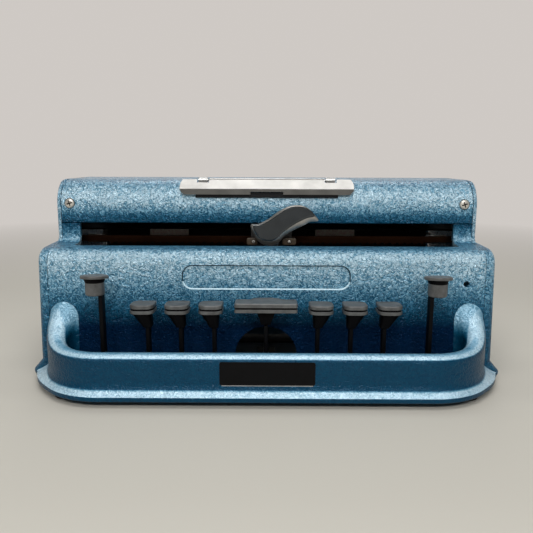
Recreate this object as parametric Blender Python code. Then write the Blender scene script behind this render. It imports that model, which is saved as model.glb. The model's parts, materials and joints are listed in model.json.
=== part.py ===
"""Six-key braille typewriter in a cast, enamelled body.

Metres, +Z up, the carrying bar at the front towards -Y, +X to the operator's right.
The origin is at the bottom centre of the overall box.
"""
import math

import bmesh
import bpy
from mathutils import Matrix, Vector

MM = 0.001

# Overall size, and the gaps kept between neighbours
OVERALL_DEPTH = 229.0 * MM
OVERALL_WIDTH = 386.0 * MM
SEAT_GAP = 0.3 * MM
RUNNING_GAP = 0.4 * MM
CUT_OVERRUN = 3.0 * MM
FRONT_Y = -OVERALL_DEPTH / 2
REAR_Y = OVERALL_DEPTH / 2

# Smoothness of round work
ARC_STEPS = 5
SMALL_ARC_STEPS = 2
ROUND_STEPS = 16
DRUM_STEPS = 28
SHARP_ANGLE = math.radians(38)

# Body outline: the width runs over the knobs, and heights follow the slot's top
FOOT_HEIGHT = 5.0 * MM
LOWER_SIDE_THICKNESS = 8.0 * MM
UPPER_SIDE_THICKNESS = 3.4 * MM
KNOB_LENGTH = 14.1 * MM
KNOB_GAP = 0.6 * MM
KEY_WELL_DEPTH = 52.5 * MM
PANEL_FOOT_HEIGHT = 19.0 * MM
PANEL_LEAN = 5.0 * MM
SLOT_TOP_HEIGHT = 117.3 * MM
SLOT_HEIGHT = 17.8 * MM
SHOULDER_RADIUS = 12.0 * MM
SHOULDER_SLOPE = 2.5 * MM
HOOD_SETBACK = 41.0 * MM
NECK_FILLET = 6.0 * MM
HOOD_RISE = 35.2 * MM
HOOD_FRONT_RADIUS = 22.0 * MM
HOOD_REAR_RADIUS = 26.0 * MM
REAR_SHELF_DEPTH = 19.0 * MM
REAR_SHELF_DROP = 4.8 * MM
REAR_SHELF_RADIUS = 10.0 * MM
REAR_SLOT = 6.0 * MM
STOP_TAB_REACH = 3.5 * MM
PANEL_WALL = 4.0 * MM
HOOD_WALL = 3.5 * MM
REAR_WALL = 3.0 * MM

BASE_Z = FOOT_HEIGHT
LOWER_OUTER_X = OVERALL_WIDTH / 2 - KNOB_LENGTH - KNOB_GAP
SEAM_X = LOWER_OUTER_X - LOWER_SIDE_THICKNESS
COVER_HALF_WIDTH = SEAM_X - SEAT_GAP
UPPER_OUTER_X = SEAM_X + UPPER_SIDE_THICKNESS
PANEL_FOOT_Y = FRONT_Y + KEY_WELL_DEPTH
PANEL_FOOT_Z = BASE_Z + PANEL_FOOT_HEIGHT
HOOD_BOTTOM_Z = BASE_Z + SLOT_TOP_HEIGHT
SHOULDER_Y = PANEL_FOOT_Y + PANEL_LEAN
SHOULDER_Z = HOOD_BOTTOM_Z - SLOT_HEIGHT
SHOULDER_BACK_Z = SHOULDER_Z + SHOULDER_SLOPE
HOOD_FACE_Y = PANEL_FOOT_Y + HOOD_SETBACK
HOOD_TOP_Z = HOOD_BOTTOM_Z + HOOD_RISE
REAR_COVER_Y = REAR_Y - STOP_TAB_REACH
HOOD_REAR_Y = REAR_COVER_Y - REAR_SHELF_DEPTH
REAR_SHELF_Z = HOOD_BOTTOM_Z - REAR_SHELF_DROP
HOOD_REAR_BOTTOM_Z = REAR_SHELF_Z + REAR_SLOT
INSIDE_DEPTH = REAR_COVER_Y - HOOD_FACE_Y

# Carrying bar: its horns rise and its foot flange widens towards the body
BAR_HEIGHT = 33.0 * MM
BAR_THICKNESS = 12.0 * MM
BAR_CORNER_RADIUS = 50.0 * MM
BAR_TOP_ROUND = 5.0 * MM
HORN_HEIGHT = 59.5 * MM
HORN_THICKNESS = 22.7 * MM
HORN_TOP_ROUND = 13.0 * MM
HORN_OUTSET = 0.6 * MM
FLANGE_REACH = 5.0 * MM
FLANGE_HEIGHT = 12.0 * MM
FLANGE_END_REACH = 12.3 * MM
FLANGE_END_HEIGHT = 15.0 * MM
CORNER_STEPS = 12
BAR_TOP_STEPS = 6
# Powers that keep the horn's rise, the flange's spread and the rings close to the body
HORN_POWER = 4.4
FLANGE_POWER = 1.3
RING_POWER = 1.2
# Share of a corner at which the flange starts to widen
FLANGE_START_SHARE = 0.55
# Shares of the flange's reach and height, from the lip's underside up to the bar's face
FLANGE_SHARES = ((0.9, 0.0), (1.0, 0.08), (1.0, 0.44), (0.6, 0.56), (0.25, 0.75), (0.0, 1.0))

BAR_FACE_Y = FRONT_Y + FLANGE_REACH
BAR_ARC_Y = BAR_FACE_Y + BAR_CORNER_RADIUS
BAR_ARC_X = SEAM_X - HORN_OUTSET - BAR_CORNER_RADIUS
HORN_INNER_X = SEAM_X - HORN_OUTSET - HORN_THICKNESS

# Base frame and bottom plate
PLATE_THICKNESS = 1.5 * MM
PLATE_SIDE_INSET = 2.0 * MM
RAIL_WIDTH = 14.0 * MM
RAIL_HEIGHT = 6.2 * MM
RAIL_LEAD = 8.0 * MM
PLATE_TOP_Z = BASE_Z + PLATE_THICKNESS
FRAME_Z = PLATE_TOP_Z + SEAT_GAP
FRAME_TOP_Z = FRAME_Z + RAIL_HEIGHT

# Rubber feet
FOOT_RADIUS = 7.5 * MM
FOOT_TAPER = 1.0 * MM
REAR_FOOT_INSET_X = 20.0 * MM
REAR_FOOT_INSET_Y = 20.0 * MM

# Side panels
SIDE_LOWER_ROUND = 5.0 * MM
SIDE_UPPER_ROUND = 2.8 * MM
EAR_REACH = 7.2 * MM
EAR_HEIGHT = 12.5 * MM
SHOULDER_CROWN = 9.0 * MM
LEVEL_STEP = 0.15 * MM
# Shares of the ear's reach and height, from its underside round its tip to its root
EAR_SHARES = ((0.55, 0.0), (0.88, 0.06), (1.0, 0.22), (0.94, 0.38), (0.55, 0.64), (0.2, 0.88), (0.0, 1.0))

# Openings and recess of the front cover
SLOT_END_INSET = 15.0 * MM
SLOT_FRONT_SETBACK = 17.0 * MM
RECESS_WIDTH = 129.6 * MM
RECESS_HEIGHT = 17.4 * MM
RECESS_CORNER_RADIUS = 7.4 * MM
RECESS_DROP = 20.4 * MM
RECESS_DEPTH = 1.2 * MM
RECESS_STEPS = 6
ARCH_HALF_WIDTH = 24.0 * MM
ARCH_HEIGHT = 21.5 * MM
ARCH_STEPS = 12
LOCK_HOLE_INSET = 14.4 * MM
LOCK_HOLE_DROP = 24.9 * MM
LOCK_HOLE_RADIUS = 2.4 * MM

SLOT_HALF_WIDTH = COVER_HALF_WIDTH - SLOT_END_INSET
LOCK_HOLE_X = COVER_HALF_WIDTH - LOCK_HOLE_INSET

# Key levers, shaft and comb: the row fills the opening between the horns
ROUND_KEY_INSET = 24.3 * MM
ROUND_CAP_SHIFT = 4.6 * MM
SHAFT_RADIUS = 4.0 * MM
SHAFT_HEIGHT = 15.0 * MM
LEVER_THICKNESS = 3.0 * MM
LEVER_BELOW = 6.0 * MM
LEVER_ABOVE = 2.0 * MM
HUB_RADIUS = 8.0 * MM
STEM_LEAD = 17.0 * MM
STEM_WIDTH = 7.0 * MM
TAIL_FINGER_HEIGHT = 8.0 * MM
TAIL_FINGER_WIDTH = 4.0 * MM
COMB_SETBACK = 10.0 * MM
COMB_THICKNESS = 4.0 * MM
COMB_BAR = 1.5 * MM
COMB_HEIGHT = 19.0 * MM
COMB_TINE = 5.0 * MM
COMB_SLOT_GAP = 0.5 * MM
# Shares of the way from the middle to a round key: each dot key's lever and cap
DOT_LEVER_SHARES = (0.316, 0.519, 0.721)
DOT_CAP_SHARES = (0.336, 0.542, 0.751)
# Shares of the depth inside the hood and rear cover
SHAFT_DEPTH_SHARE = 0.0833
TAIL_DEPTH_SHARE = 0.462

ROUND_KEY_X = HORN_INNER_X - ROUND_KEY_INSET
SHAFT_Y = HOOD_FACE_Y + INSIDE_DEPTH * SHAFT_DEPTH_SHARE
SHAFT_Z = BASE_Z + SHAFT_HEIGHT
TAIL_Y = HOOD_FACE_Y + INSIDE_DEPTH * TAIL_DEPTH_SHARE
STEM_Y = PANEL_FOOT_Y - STEM_LEAD
LEVER_LOW_Z = SHAFT_Z - LEVER_BELOW
LEVER_HIGH_Z = SHAFT_Z + LEVER_ABOVE

# Key caps
DOT_CAP_TOP_HEIGHT = 63.6 * MM
SPACE_CAP_TOP_HEIGHT = 65.2 * MM
ROUND_CAP_TOP_HEIGHT = 84.6 * MM
CAP_WIDTH = 18.0 * MM
CAP_DEPTH = 17.0 * MM
CAP_ROUND_CORNER = 6.0 * MM
CAP_SHARP_CORNER = 1.5 * MM
CAP_PLATE = 3.0 * MM
CAP_EDGE = 0.7 * MM
CAP_GROOVE = 1.3 * MM
CAP_GROOVE_DEPTH = 0.8 * MM
CAP_LIP = 2.6 * MM
NECK_HEIGHT = 11.0 * MM
NECK_TOP_WIDTH = 13.5 * MM
NECK_TOP_DEPTH = 12.0 * MM
NECK_END_WIDTH = 6.5 * MM
NECK_END_DEPTH = 9.5 * MM
NECK_SQUARENESS = 5
SPACE_CAP_GAP = 9.0 * MM
SPACE_BULGE_DEPTH = 6.0 * MM
# Share of the space bar's half width that the bulge takes
SPACE_BULGE_SHARE = 0.52
DISC_RADIUS = 10.4 * MM
DISC_THICKNESS = 2.4 * MM
DISC_TILT = 2.2 * MM
DISC_NECK = 1.6 * MM
COLLAR_RADIUS = 7.1 * MM
COLLAR_LENGTH = 9.8 * MM
COLLAR_FLARE = 0.9 * MM

DOT_CAP_X = [ROUND_KEY_X * share for share in DOT_CAP_SHARES]
DOT_LEVER_X = [ROUND_KEY_X * share for share in DOT_LEVER_SHARES]
SPACE_HALF_WIDTH = DOT_CAP_X[0] - CAP_WIDTH / 2 - SPACE_CAP_GAP

# Carriage, its rails and the escapement rack, below and behind the slot
RAIL_RADIUS = 3.5 * MM
RAIL_DROP = 29.3 * MM
CARRIAGE_WIDTH = 34.0 * MM
CARRIAGE_REST_X = 4.0 * MM
CARRIAGE_LOW = 7.0 * MM
LOWER_JAW_RISE = 18.0 * MM
PAPER_GAP = 5.0 * MM
UPPER_JAW = 5.0 * MM
UPPER_JAW_SETBACK = 4.0 * MM
RACK_THICKNESS = 3.0 * MM
RACK_BODY = 5.0 * MM
RACK_TOOTH = 2.2 * MM
RACK_CLEARANCE = 1.0 * MM
CELL_PITCH = 6.35 * MM
CELL_COUNT = 42
# Shares of the depth inside the hood and rear cover
CARRIAGE_FRONT_SHARE = 0.015
CARRIAGE_POST_SHARE = 0.076
CARRIAGE_REAR_SHARE = 0.311
FRONT_RAIL_SHARE = 0.068
REAR_RAIL_SHARE = 0.25
RACK_SHARE = 0.106

RAIL_Z = HOOD_BOTTOM_Z - RAIL_DROP
CARRIAGE_Y = HOOD_FACE_Y + INSIDE_DEPTH * CARRIAGE_FRONT_SHARE
CARRIAGE_POST_Y = HOOD_FACE_Y + INSIDE_DEPTH * CARRIAGE_POST_SHARE
CARRIAGE_REAR_Y = HOOD_FACE_Y + INSIDE_DEPTH * CARRIAGE_REAR_SHARE
FRONT_RAIL_Y = HOOD_FACE_Y + INSIDE_DEPTH * FRONT_RAIL_SHARE
REAR_RAIL_Y = HOOD_FACE_Y + INSIDE_DEPTH * REAR_RAIL_SHARE
JAW_Z = RAIL_Z + LOWER_JAW_RISE
RACK_Y = HOOD_FACE_Y + INSIDE_DEPTH * RACK_SHARE
RACK_TOP_Z = JAW_Z - RACK_CLEARANCE

# Head lever, an S-shaped paddle in front of the hood
PADDLE_WIDTH = 54.4 * MM
PADDLE_HEIGHT = 33.5 * MM
PADDLE_THICKNESS = 6.0 * MM
PADDLE_EDGE = 1.6 * MM
PADDLE_LEAD = 6.6 * MM
PADDLE_LEFT = 16.5 * MM
PADDLE_LOW = -0.4 * MM
PADDLE_STEPS = 2
PADDLE_FOOT_WIDTH = 12.0 * MM
PADDLE_FOOT_HEIGHT = 9.0 * MM
PADDLE_FOOT_DROP = 5.0 * MM
# Shares of the paddle's width and height, round its outline from the upper left corner
PADDLE_SHARES = (
    (0.0, 0.531), (0.0, 0.413), (0.043, 0.259), (0.101, 0.124), (0.197, 0.031), (0.312, 0.0),
    (0.408, 0.08), (0.503, 0.252), (0.655, 0.41), (0.781, 0.509), (0.882, 0.597), (1.0, 0.624),
    (0.951, 0.76), (0.875, 0.893), (0.785, 0.976), (0.688, 1.0), (0.576, 0.975), (0.487, 0.914),
    (0.384, 0.817), (0.25, 0.659), (0.1, 0.536),
)

# Feed roller, ratchet, knobs and the pawl
ROLLER_DROP = 22.3 * MM
ROLLER_END_INSET = 24.0 * MM
FEED_SHAFT_RADIUS = 4.0 * MM
KNOB_RADIUS = 17.0 * MM
KNOB_FLUTE_DEPTH = 1.3 * MM
KNOB_FLUTES = 12
KNOB_EDGE = 2.0 * MM
RATCHET_INSET = 2.5 * MM
RATCHET_THICKNESS = 4.0 * MM
RATCHET_STEP = 3.0 * MM
RATCHET_TOOTH = 2.4 * MM
RATCHET_TEETH = 20
# Share of a tooth's pitch taken by its steep face
RATCHET_FACE_SHARE = 0.25
PAWL_THICKNESS = 4.0 * MM
PAWL_WIDTH = 4.0 * MM
PAWL_HOOK = 2.6 * MM
PAWL_HOOK_HEIGHT = 6.0 * MM
PAWL_TOP_DROP = 6.0 * MM
# Shares of the depth inside the hood and rear cover
ROLLER_DEPTH_SHARE = 0.538
ROLLER_RADIUS_SHARE = 0.1667

ROLLER_Y = HOOD_FACE_Y + INSIDE_DEPTH * ROLLER_DEPTH_SHARE
ROLLER_Z = HOOD_BOTTOM_Z - ROLLER_DROP
ROLLER_RADIUS = INSIDE_DEPTH * ROLLER_RADIUS_SHARE
ROLLER_HALF_LENGTH = COVER_HALF_WIDTH - ROLLER_END_INSET
RATCHET_RADIUS = ROLLER_RADIUS - RATCHET_STEP
RATCHET_X = -(ROLLER_HALF_LENGTH + RATCHET_INSET + RATCHET_THICKNESS / 2)
PAWL_Y = ROLLER_Y - RATCHET_RADIUS - RUNNING_GAP - PAWL_HOOK - PAWL_WIDTH

# Paper deck and release levers
DECK_THICKNESS = 1.5 * MM
DECK_CLEARANCE = 2.0 * MM
DECK_LIFT = 2.0 * MM
# Shares of the depth inside the hood and rear cover
DECK_FRONT_SHARE = 0.322
DECK_REAR_SHARE = 0.409
RELEASE_AHEAD_SHARE = 0.076
RELEASE_ABOVE = 30.0 * MM
RELEASE_SHAFT_RADIUS = 3.0 * MM
RELEASE_ARM_INSET = 8.0 * MM
RELEASE_ARM_THICKNESS = 5.0 * MM
RELEASE_ARM_WIDTH = 5.0 * MM
RELEASE_PAD_ANGLE = math.radians(50)
RELEASE_PAD_GAP = 0.8 * MM
RELEASE_LEVER_LENGTH = 20.0 * MM
RELEASE_LEVER_THICKNESS = 3.0 * MM
RELEASE_LEVER_ROOT = 5.0 * MM
RELEASE_LEVER_TIP = 3.6 * MM

DECK_FRONT_Y = HOOD_FACE_Y + INSIDE_DEPTH * DECK_FRONT_SHARE
DECK_REAR_Y = HOOD_FACE_Y + INSIDE_DEPTH * DECK_REAR_SHARE
RELEASE_Y = ROLLER_Y + INSIDE_DEPTH * RELEASE_AHEAD_SHARE
RELEASE_Z = ROLLER_Z + RELEASE_ABOVE
RELEASE_ARM_X = ROLLER_HALF_LENGTH - RELEASE_ARM_INSET

# Reading rest on the hood
REST_HALF_LENGTH = 71.8 * MM
REST_THICKNESS = 1.6 * MM
REST_END_RADIUS = 6.0 * MM
REST_PIN_SETBACK = 11.5 * MM
REST_PIN_DROP = 0.5 * MM
REST_PIN_RADIUS = 0.8 * MM
REST_KNUCKLE_RADIUS = 1.7 * MM
REST_PLATE_RUN = 9.8 * MM
REST_PLATE_DROP = 7.8 * MM
REST_LIP_RUN = 1.8 * MM
REST_LIP_DROP = 4.6 * MM
REST_BEND_RADIUS = 2.6 * MM
REST_ROOT_RUN = 1.2 * MM
REST_ROOT_RISE = 1.0 * MM
REST_NOTCH_WIDTH = 27.0 * MM
REST_NOTCH_HEIGHT = 2.6 * MM
BRACKET_X = 53.1 * MM
BRACKET_WIDTH = 8.0 * MM
BRACKET_HALF_DEPTH = 2.8 * MM
BRACKET_HEAD = 2.4 * MM
BRACKET_SLOT_GAP = 1.0 * MM
BRACKET_SLOT_DEPTH = 4.4 * MM

REST_PIN_Y = HOOD_FACE_Y + REST_PIN_SETBACK
REST_PIN_Z = HOOD_TOP_Z - REST_PIN_DROP

# Margin bar, stops and the window they show through
MARGIN_BAR_INSET = 8.0 * MM
MARGIN_BAR_DEPTH = 6.0 * MM
MARGIN_BAR_HEIGHT = 8.0 * MM
MARGIN_DROP = 26.3 * MM
STOP_WIDTH = 12.0 * MM
STOP_WALL = 3.5 * MM
STOP_TAB_HEIGHT = 5.0 * MM
STOP_END_INSET = 8.0 * MM
WINDOW_END_INSET = 30.0 * MM
WINDOW_HEIGHT = 8.0 * MM
WINDOW_CORNER_RADIUS = 0.9 * MM

MARGIN_Z = HOOD_BOTTOM_Z - MARGIN_DROP
MARGIN_BAR_Y = REAR_COVER_Y - REAR_WALL - MARGIN_BAR_INSET
WINDOW_HALF_WIDTH = COVER_HALF_WIDTH - WINDOW_END_INSET
STOP_REST_X = WINDOW_HALF_WIDTH - STOP_END_INSET

# Bell, hammer and mainspring drum on the bottom plate
BELL_INSET = 30.0 * MM
BELL_RADIUS = 18.0 * MM
BELL_WALL = 1.5 * MM
BELL_RIM_HEIGHT = 17.0 * MM
BELL_POST_RADIUS = 2.5 * MM
BELL_BASE_RADIUS = 6.0 * MM
BELL_BASE_HEIGHT = 1.7 * MM
HAMMER_OFFSET = 28.0 * MM
HAMMER_HEIGHT = 19.0 * MM
HAMMER_THICKNESS = 4.0 * MM
HAMMER_ARM_WIDTH = 2.4 * MM
HAMMER_HUB_RADIUS = 4.0 * MM
HAMMER_HEAD_RADIUS = 3.4 * MM
HAMMER_HEAD_SHIFT = 3.4 * MM
HAMMER_STUD_RADIUS = 2.0 * MM
STUD_STEP = 1.6 * MM
STUD_PROUD = 1.0 * MM
SPRING_INSET = 30.0 * MM
SPRING_DRUM_RADIUS = 21.0 * MM
SPRING_DRUM_HEIGHT = 14.0 * MM
SPRING_DRUM_LIFT = 9.0 * MM
SPRING_GROOVE = 2.0 * MM
SPRING_RIM = 3.0 * MM
SPRING_STUD_RADIUS = 3.0 * MM

# Shares of the depth inside the hood and rear cover
REAR_BAY_SHARE = 0.7045
HAMMER_DEPTH_SHARE = 0.5227

BELL_X = COVER_HALF_WIDTH - BELL_INSET
SPRING_X = COVER_HALF_WIDTH - SPRING_INSET
REAR_BAY_Y = HOOD_FACE_Y + INSIDE_DEPTH * REAR_BAY_SHARE
SPRING_DRUM_Z = BASE_Z + SPRING_DRUM_LIFT
HAMMER_X = BELL_X - HAMMER_OFFSET
HAMMER_Y = HOOD_FACE_Y + INSIDE_DEPTH * HAMMER_DEPTH_SHARE
HAMMER_Z = BASE_Z + HAMMER_HEIGHT


# Materials

def make_material(name, color, roughness, metallic):
    """Principled material; color is linear RGB."""
    material = bpy.data.materials.new(name)
    material.use_nodes = True
    shader = material.node_tree.nodes["Principled BSDF"]
    shader.inputs["Base Color"].default_value = (*color, 1.0)
    shader.inputs["Roughness"].default_value = roughness
    shader.inputs["Metallic"].default_value = metallic
    material.diffuse_color = (*color, 1.0)
    return material


def make_materials():
    """Every finish of the machine, by name."""
    return {
        "enamel": make_material("blue_enamel", (0.022, 0.115, 0.185), 0.35, 0.2),
        "keys": make_material("key_plastic", (0.055, 0.052, 0.05), 0.45, 0.0),
        "blackened": make_material("blackened_steel", (0.015, 0.015, 0.016), 0.5, 0.6),
        "steel": make_material("bright_steel", (0.55, 0.56, 0.57), 0.3, 1.0),
        "brass": make_material("brass", (0.60, 0.38, 0.13), 0.35, 1.0),
        "rubber": make_material("rubber", (0.02, 0.02, 0.02), 0.8, 0.0),
        "paddle": make_material("paddle_metal", (0.06, 0.065, 0.075), 0.25, 0.7),
        "knob": make_material("knob_plastic", (0.02, 0.02, 0.022), 0.35, 0.0),
    }


# Outlines

def arc(centre, radius, start, end, steps):
    """Points on an arc, both ends included; angles in radians."""
    points = []
    for i in range(steps + 1):
        angle = start + (end - start) * i / steps
        points.append((centre[0] + radius * math.cos(angle), centre[1] + radius * math.sin(angle)))
    return points


def rounded(corners, closed=True, steps=ARC_STEPS):
    """Path through corners (u, v, radius), each corner rounded by its radius."""
    path = []
    count = len(corners)
    for i, (u, v, radius) in enumerate(corners):
        corner = Vector((u, v))
        at_end = not closed and i in (0, count - 1)
        if at_end or radius == 0:
            path.append((u, v))
            continue
        back = (Vector(corners[i - 1][:2]) - corner).normalized()
        ahead = (Vector(corners[(i + 1) % count][:2]) - corner).normalized()
        half = back.angle(ahead) / 2
        centre = corner + (back + ahead).normalized() * radius / math.sin(half)
        first = corner + back * radius / math.tan(half) - centre
        last = corner + ahead * radius / math.tan(half) - centre
        sweep = math.atan2(first.x * last.y - first.y * last.x, first.dot(last))
        start = math.atan2(first.y, first.x)
        path.extend(arc(centre, radius, start, start + sweep, steps))
    return path


def offset(path, distance, closed=False):
    """Path moved to its right by distance, with mitred corners."""
    count = len(path)
    moved = []
    for i in range(count):
        point = Vector(path[i])
        normals = []
        if closed or i > 0:
            step = (point - Vector(path[i - 1])).normalized()
            normals.append(Vector((step.y, -step.x)))
        if closed or i < count - 1:
            step = (Vector(path[(i + 1) % count]) - point).normalized()
            normals.append(Vector((step.y, -step.x)))
        shift = normals[0]
        if len(normals) == 2:
            shift = (normals[0] + normals[1]) / (1 + normals[0].dot(normals[1]))
        moved.append(tuple(point + shift * distance))
    return moved


def strip(path, thickness):
    """Closed outline of a sheet whose outer face is the path."""
    return path + offset(path, thickness)[::-1]


def smooth_loop(points, steps):
    """Closed Catmull-Rom curve through the points."""
    count = len(points)
    loop = []
    for i in range(count):
        p0, p1, p2, p3 = (Vector(points[(i + k - 1) % count]) for k in range(4))
        for j in range(steps):
            t = j / steps
            bend = 2 * p1 + (p2 - p0) * t
            bend += (2 * p0 - 5 * p1 + 4 * p2 - p3) * t * t
            bend += (3 * p1 - p0 - 3 * p2 + p3) * t * t * t
            loop.append(tuple(bend / 2))
    return loop


def rectangle(low_u, low_v, high_u, high_v, radius=0, steps=SMALL_ARC_STEPS):
    """Counter-clockwise rectangle with rounded corners."""
    return rounded([
        (low_u, low_v, radius),
        (high_u, low_v, radius),
        (high_u, high_v, radius),
        (low_u, high_v, radius),
    ], True, steps)


# Solids

def place(axis, u, v, along):
    """Point with plane coordinates u, v and a position along the axis."""
    if axis == "X":
        return (along, u, v)
    if axis == "Y":
        return (u, along, v)
    return (u, v, along)


def finish(name, bm, material):
    """Turn a bmesh into a linked, smooth-shaded object."""
    bmesh.ops.recalc_face_normals(bm, faces=bm.faces)
    mesh = bpy.data.meshes.new(name)
    bm.to_mesh(mesh)
    bm.free()
    mesh.materials.append(material)
    mesh.shade_smooth()
    mesh.set_sharp_from_angle(angle=SHARP_ANGLE)
    piece = bpy.data.objects.new(name, mesh)
    bpy.context.scene.collection.objects.link(piece)
    return piece


def loft(name, rings, material):
    """Solid skinned over rings of equally many points, flat at both ends."""
    bm = bmesh.new()
    loops = [[bm.verts.new(point) for point in ring] for ring in rings]
    count = len(loops[0])
    for low, high in zip(loops, loops[1:]):
        for i in range(count):
            j = (i + 1) % count
            bm.faces.new((low[i], low[j], high[j], high[i]))
    bm.faces.new(loops[0])
    bm.faces.new(loops[-1])
    return finish(name, bm, material)


def prism(name, outline, axis, start, end, material):
    """Outline extruded along an axis."""
    rings = [[place(axis, u, v, along) for u, v in outline] for along in (start, end)]
    return loft(name, rings, material)


def block(name, low, high, material):
    """Box between two corners."""
    outline = rectangle(low[0], low[1], high[0], high[1])
    return prism(name, outline, "Z", low[2], high[2], material)


def turned(name, profile, axis, centre, material, steps=ROUND_STEPS, closed=False):
    """Profile of (along, radius) turned about an axis; a closed profile leaves a bore."""
    bm = bmesh.new()
    rings = []
    for along, radius in profile:
        if radius == 0:
            rings.append([bm.verts.new(place(axis, centre[0], centre[1], along))])
            continue
        circle = arc(centre, radius, 0, 2 * math.pi, steps)[:-1]
        rings.append([bm.verts.new(place(axis, u, v, along)) for u, v in circle])
    pairs = list(zip(rings, rings[1:]))
    if closed:
        pairs.append((rings[-1], rings[0]))
    for low, high in pairs:
        for i in range(steps):
            j = (i + 1) % steps
            corners = [low[i % len(low)], low[j % len(low)], high[j % len(high)], high[i % len(high)]]
            bm.faces.new(list(dict.fromkeys(corners)))
    if not closed:
        for ring in (rings[0], rings[-1]):
            if len(ring) > 1:
                bm.faces.new(ring)
    return finish(name, bm, material)


def rod(name, axis, centre, radius, start, end, material, steps=ROUND_STEPS):
    """Plain cylinder along an axis."""
    return turned(name, ((start, radius), (end, radius)), axis, centre, material, steps)


def combine(piece, tool, operation):
    """Boolean of a piece with a hidden tool, which stays with the piece."""
    tool.hide_render = True
    tool.display_type = "WIRE"
    tool.parent = piece
    modifier = piece.modifiers.new(tool.name, "BOOLEAN")
    modifier.operation = operation
    modifier.solver = "EXACT"
    modifier.object = tool


def fuse(piece, *tools):
    """Join tools to a piece."""
    for tool in tools:
        combine(piece, tool, "UNION")


def cut(piece, *tools):
    """Cut tools out of a piece."""
    for tool in tools:
        combine(piece, tool, "DIFFERENCE")


def bore(piece, axis, centre, radius, start, end, steps=ROUND_STEPS):
    """Cut a round hole, running past both given ends."""
    tool = rod(piece.name + "_bore", axis, centre, radius, start - CUT_OVERRUN, end + CUT_OVERRUN,
               piece.data.materials[0], steps)
    cut(piece, tool)


def hang(name, point, pieces):
    """Parent pieces to an empty on their joint's axis."""
    pivot = bpy.data.objects.new(name, None)
    pivot.location = point
    bpy.context.scene.collection.objects.link(pivot)
    shift = Matrix.Translation(-Vector(point))
    for piece in pieces:
        piece.data.transform(shift)
        for tool in piece.children:
            tool.data.transform(shift)
        piece.parent = pivot
    return pivot


# Outlines that the covers and the side panels share

def front_corners(neck_y):
    """Front of the body from the cover's foot to the neck, as corners with radii."""
    return [
        (PANEL_FOOT_Y, PANEL_FOOT_Z, 0),
        (SHOULDER_Y, SHOULDER_Z, SHOULDER_RADIUS),
        (neck_y, SHOULDER_BACK_Z, NECK_FILLET),
    ]


def hood_corners():
    """Front and top of the hood down to its rear edge."""
    return [
        (HOOD_FACE_Y, HOOD_TOP_Z, HOOD_FRONT_RADIUS),
        (HOOD_REAR_Y, HOOD_TOP_Z, HOOD_REAR_RADIUS),
    ]


def panel_front_y(z):
    """Y of the front cover's leaning face at a height."""
    share = (z - PANEL_FOOT_Z) / (SHOULDER_Z - PANEL_FOOT_Z)
    return PANEL_FOOT_Y + PANEL_LEAN * share


# Body

def bar_section(growth, spread):
    """Section of the carrying bar as (outward, z) points; both shares run from 0 to 1 at the body."""

    def between(start, end, share):
        """Size that grows from start to end."""
        return start + (end - start) * share

    top = BASE_Z + between(BAR_HEIGHT, HORN_HEIGHT, growth)
    half = between(BAR_THICKNESS, HORN_THICKNESS, growth) / 2
    crown = between(BAR_TOP_ROUND, HORN_TOP_ROUND, growth)
    reach = between(FLANGE_REACH, FLANGE_END_REACH, spread)
    height = between(FLANGE_HEIGHT, FLANGE_END_HEIGHT, spread)
    points = [(reach * u, BASE_Z + height * v) for u, v in FLANGE_SHARES]
    for i in range(BAR_TOP_STEPS + 1):
        angle = math.pi * i / BAR_TOP_STEPS
        points.append((-half + half * math.cos(angle), top - crown * (1 - math.sin(angle))))
    points.append((-half * 2, BASE_Z))
    return points


def bar_ring(side, share):
    """Ring of the bar at a share of a corner: 0 at the front, 1 at the body."""
    angle = math.pi / 2 * share
    widening = max(share - FLANGE_START_SHARE, 0) / (1 - FLANGE_START_SHARE)
    lead = SEAT_GAP + BAR_CORNER_RADIUS * (1 - share) / 2
    ring = []
    for outward, z in bar_section(share ** HORN_POWER, widening ** FLANGE_POWER):
        reach = BAR_CORNER_RADIUS + outward
        x = side * (BAR_ARC_X + reach * math.sin(angle))
        y = BAR_ARC_Y - reach * math.cos(angle)
        ring.append((x, min(y, panel_front_y(z) - lead), z))
    return ring


def make_base(finishes):
    """Base casting: carrying bar with horns and flange, side rails and rear rail."""
    corner = [1 - (1 - i / CORNER_STEPS) ** RING_POWER for i in range(CORNER_STEPS + 1)]
    rings = [bar_ring(-1, share) for share in reversed(corner)]
    rings += [bar_ring(1, share) for share in corner]
    base = loft("base_casting", rings, finishes["enamel"])
    outer = COVER_HALF_WIDTH
    inner = outer - RAIL_WIDTH
    front = PANEL_FOOT_Y - RAIL_LEAD
    rear = REAR_COVER_Y - REAR_WALL - SEAT_GAP
    outline = [
        (-outer, front), (-inner, front), (-inner, rear - RAIL_WIDTH), (inner, rear - RAIL_WIDTH),
        (inner, front), (outer, front), (outer, rear), (-outer, rear),
    ]
    fuse(base, prism("base_rails", outline, "Z", FRAME_Z, FRAME_TOP_Z, finishes["enamel"]))
    return base


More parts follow.
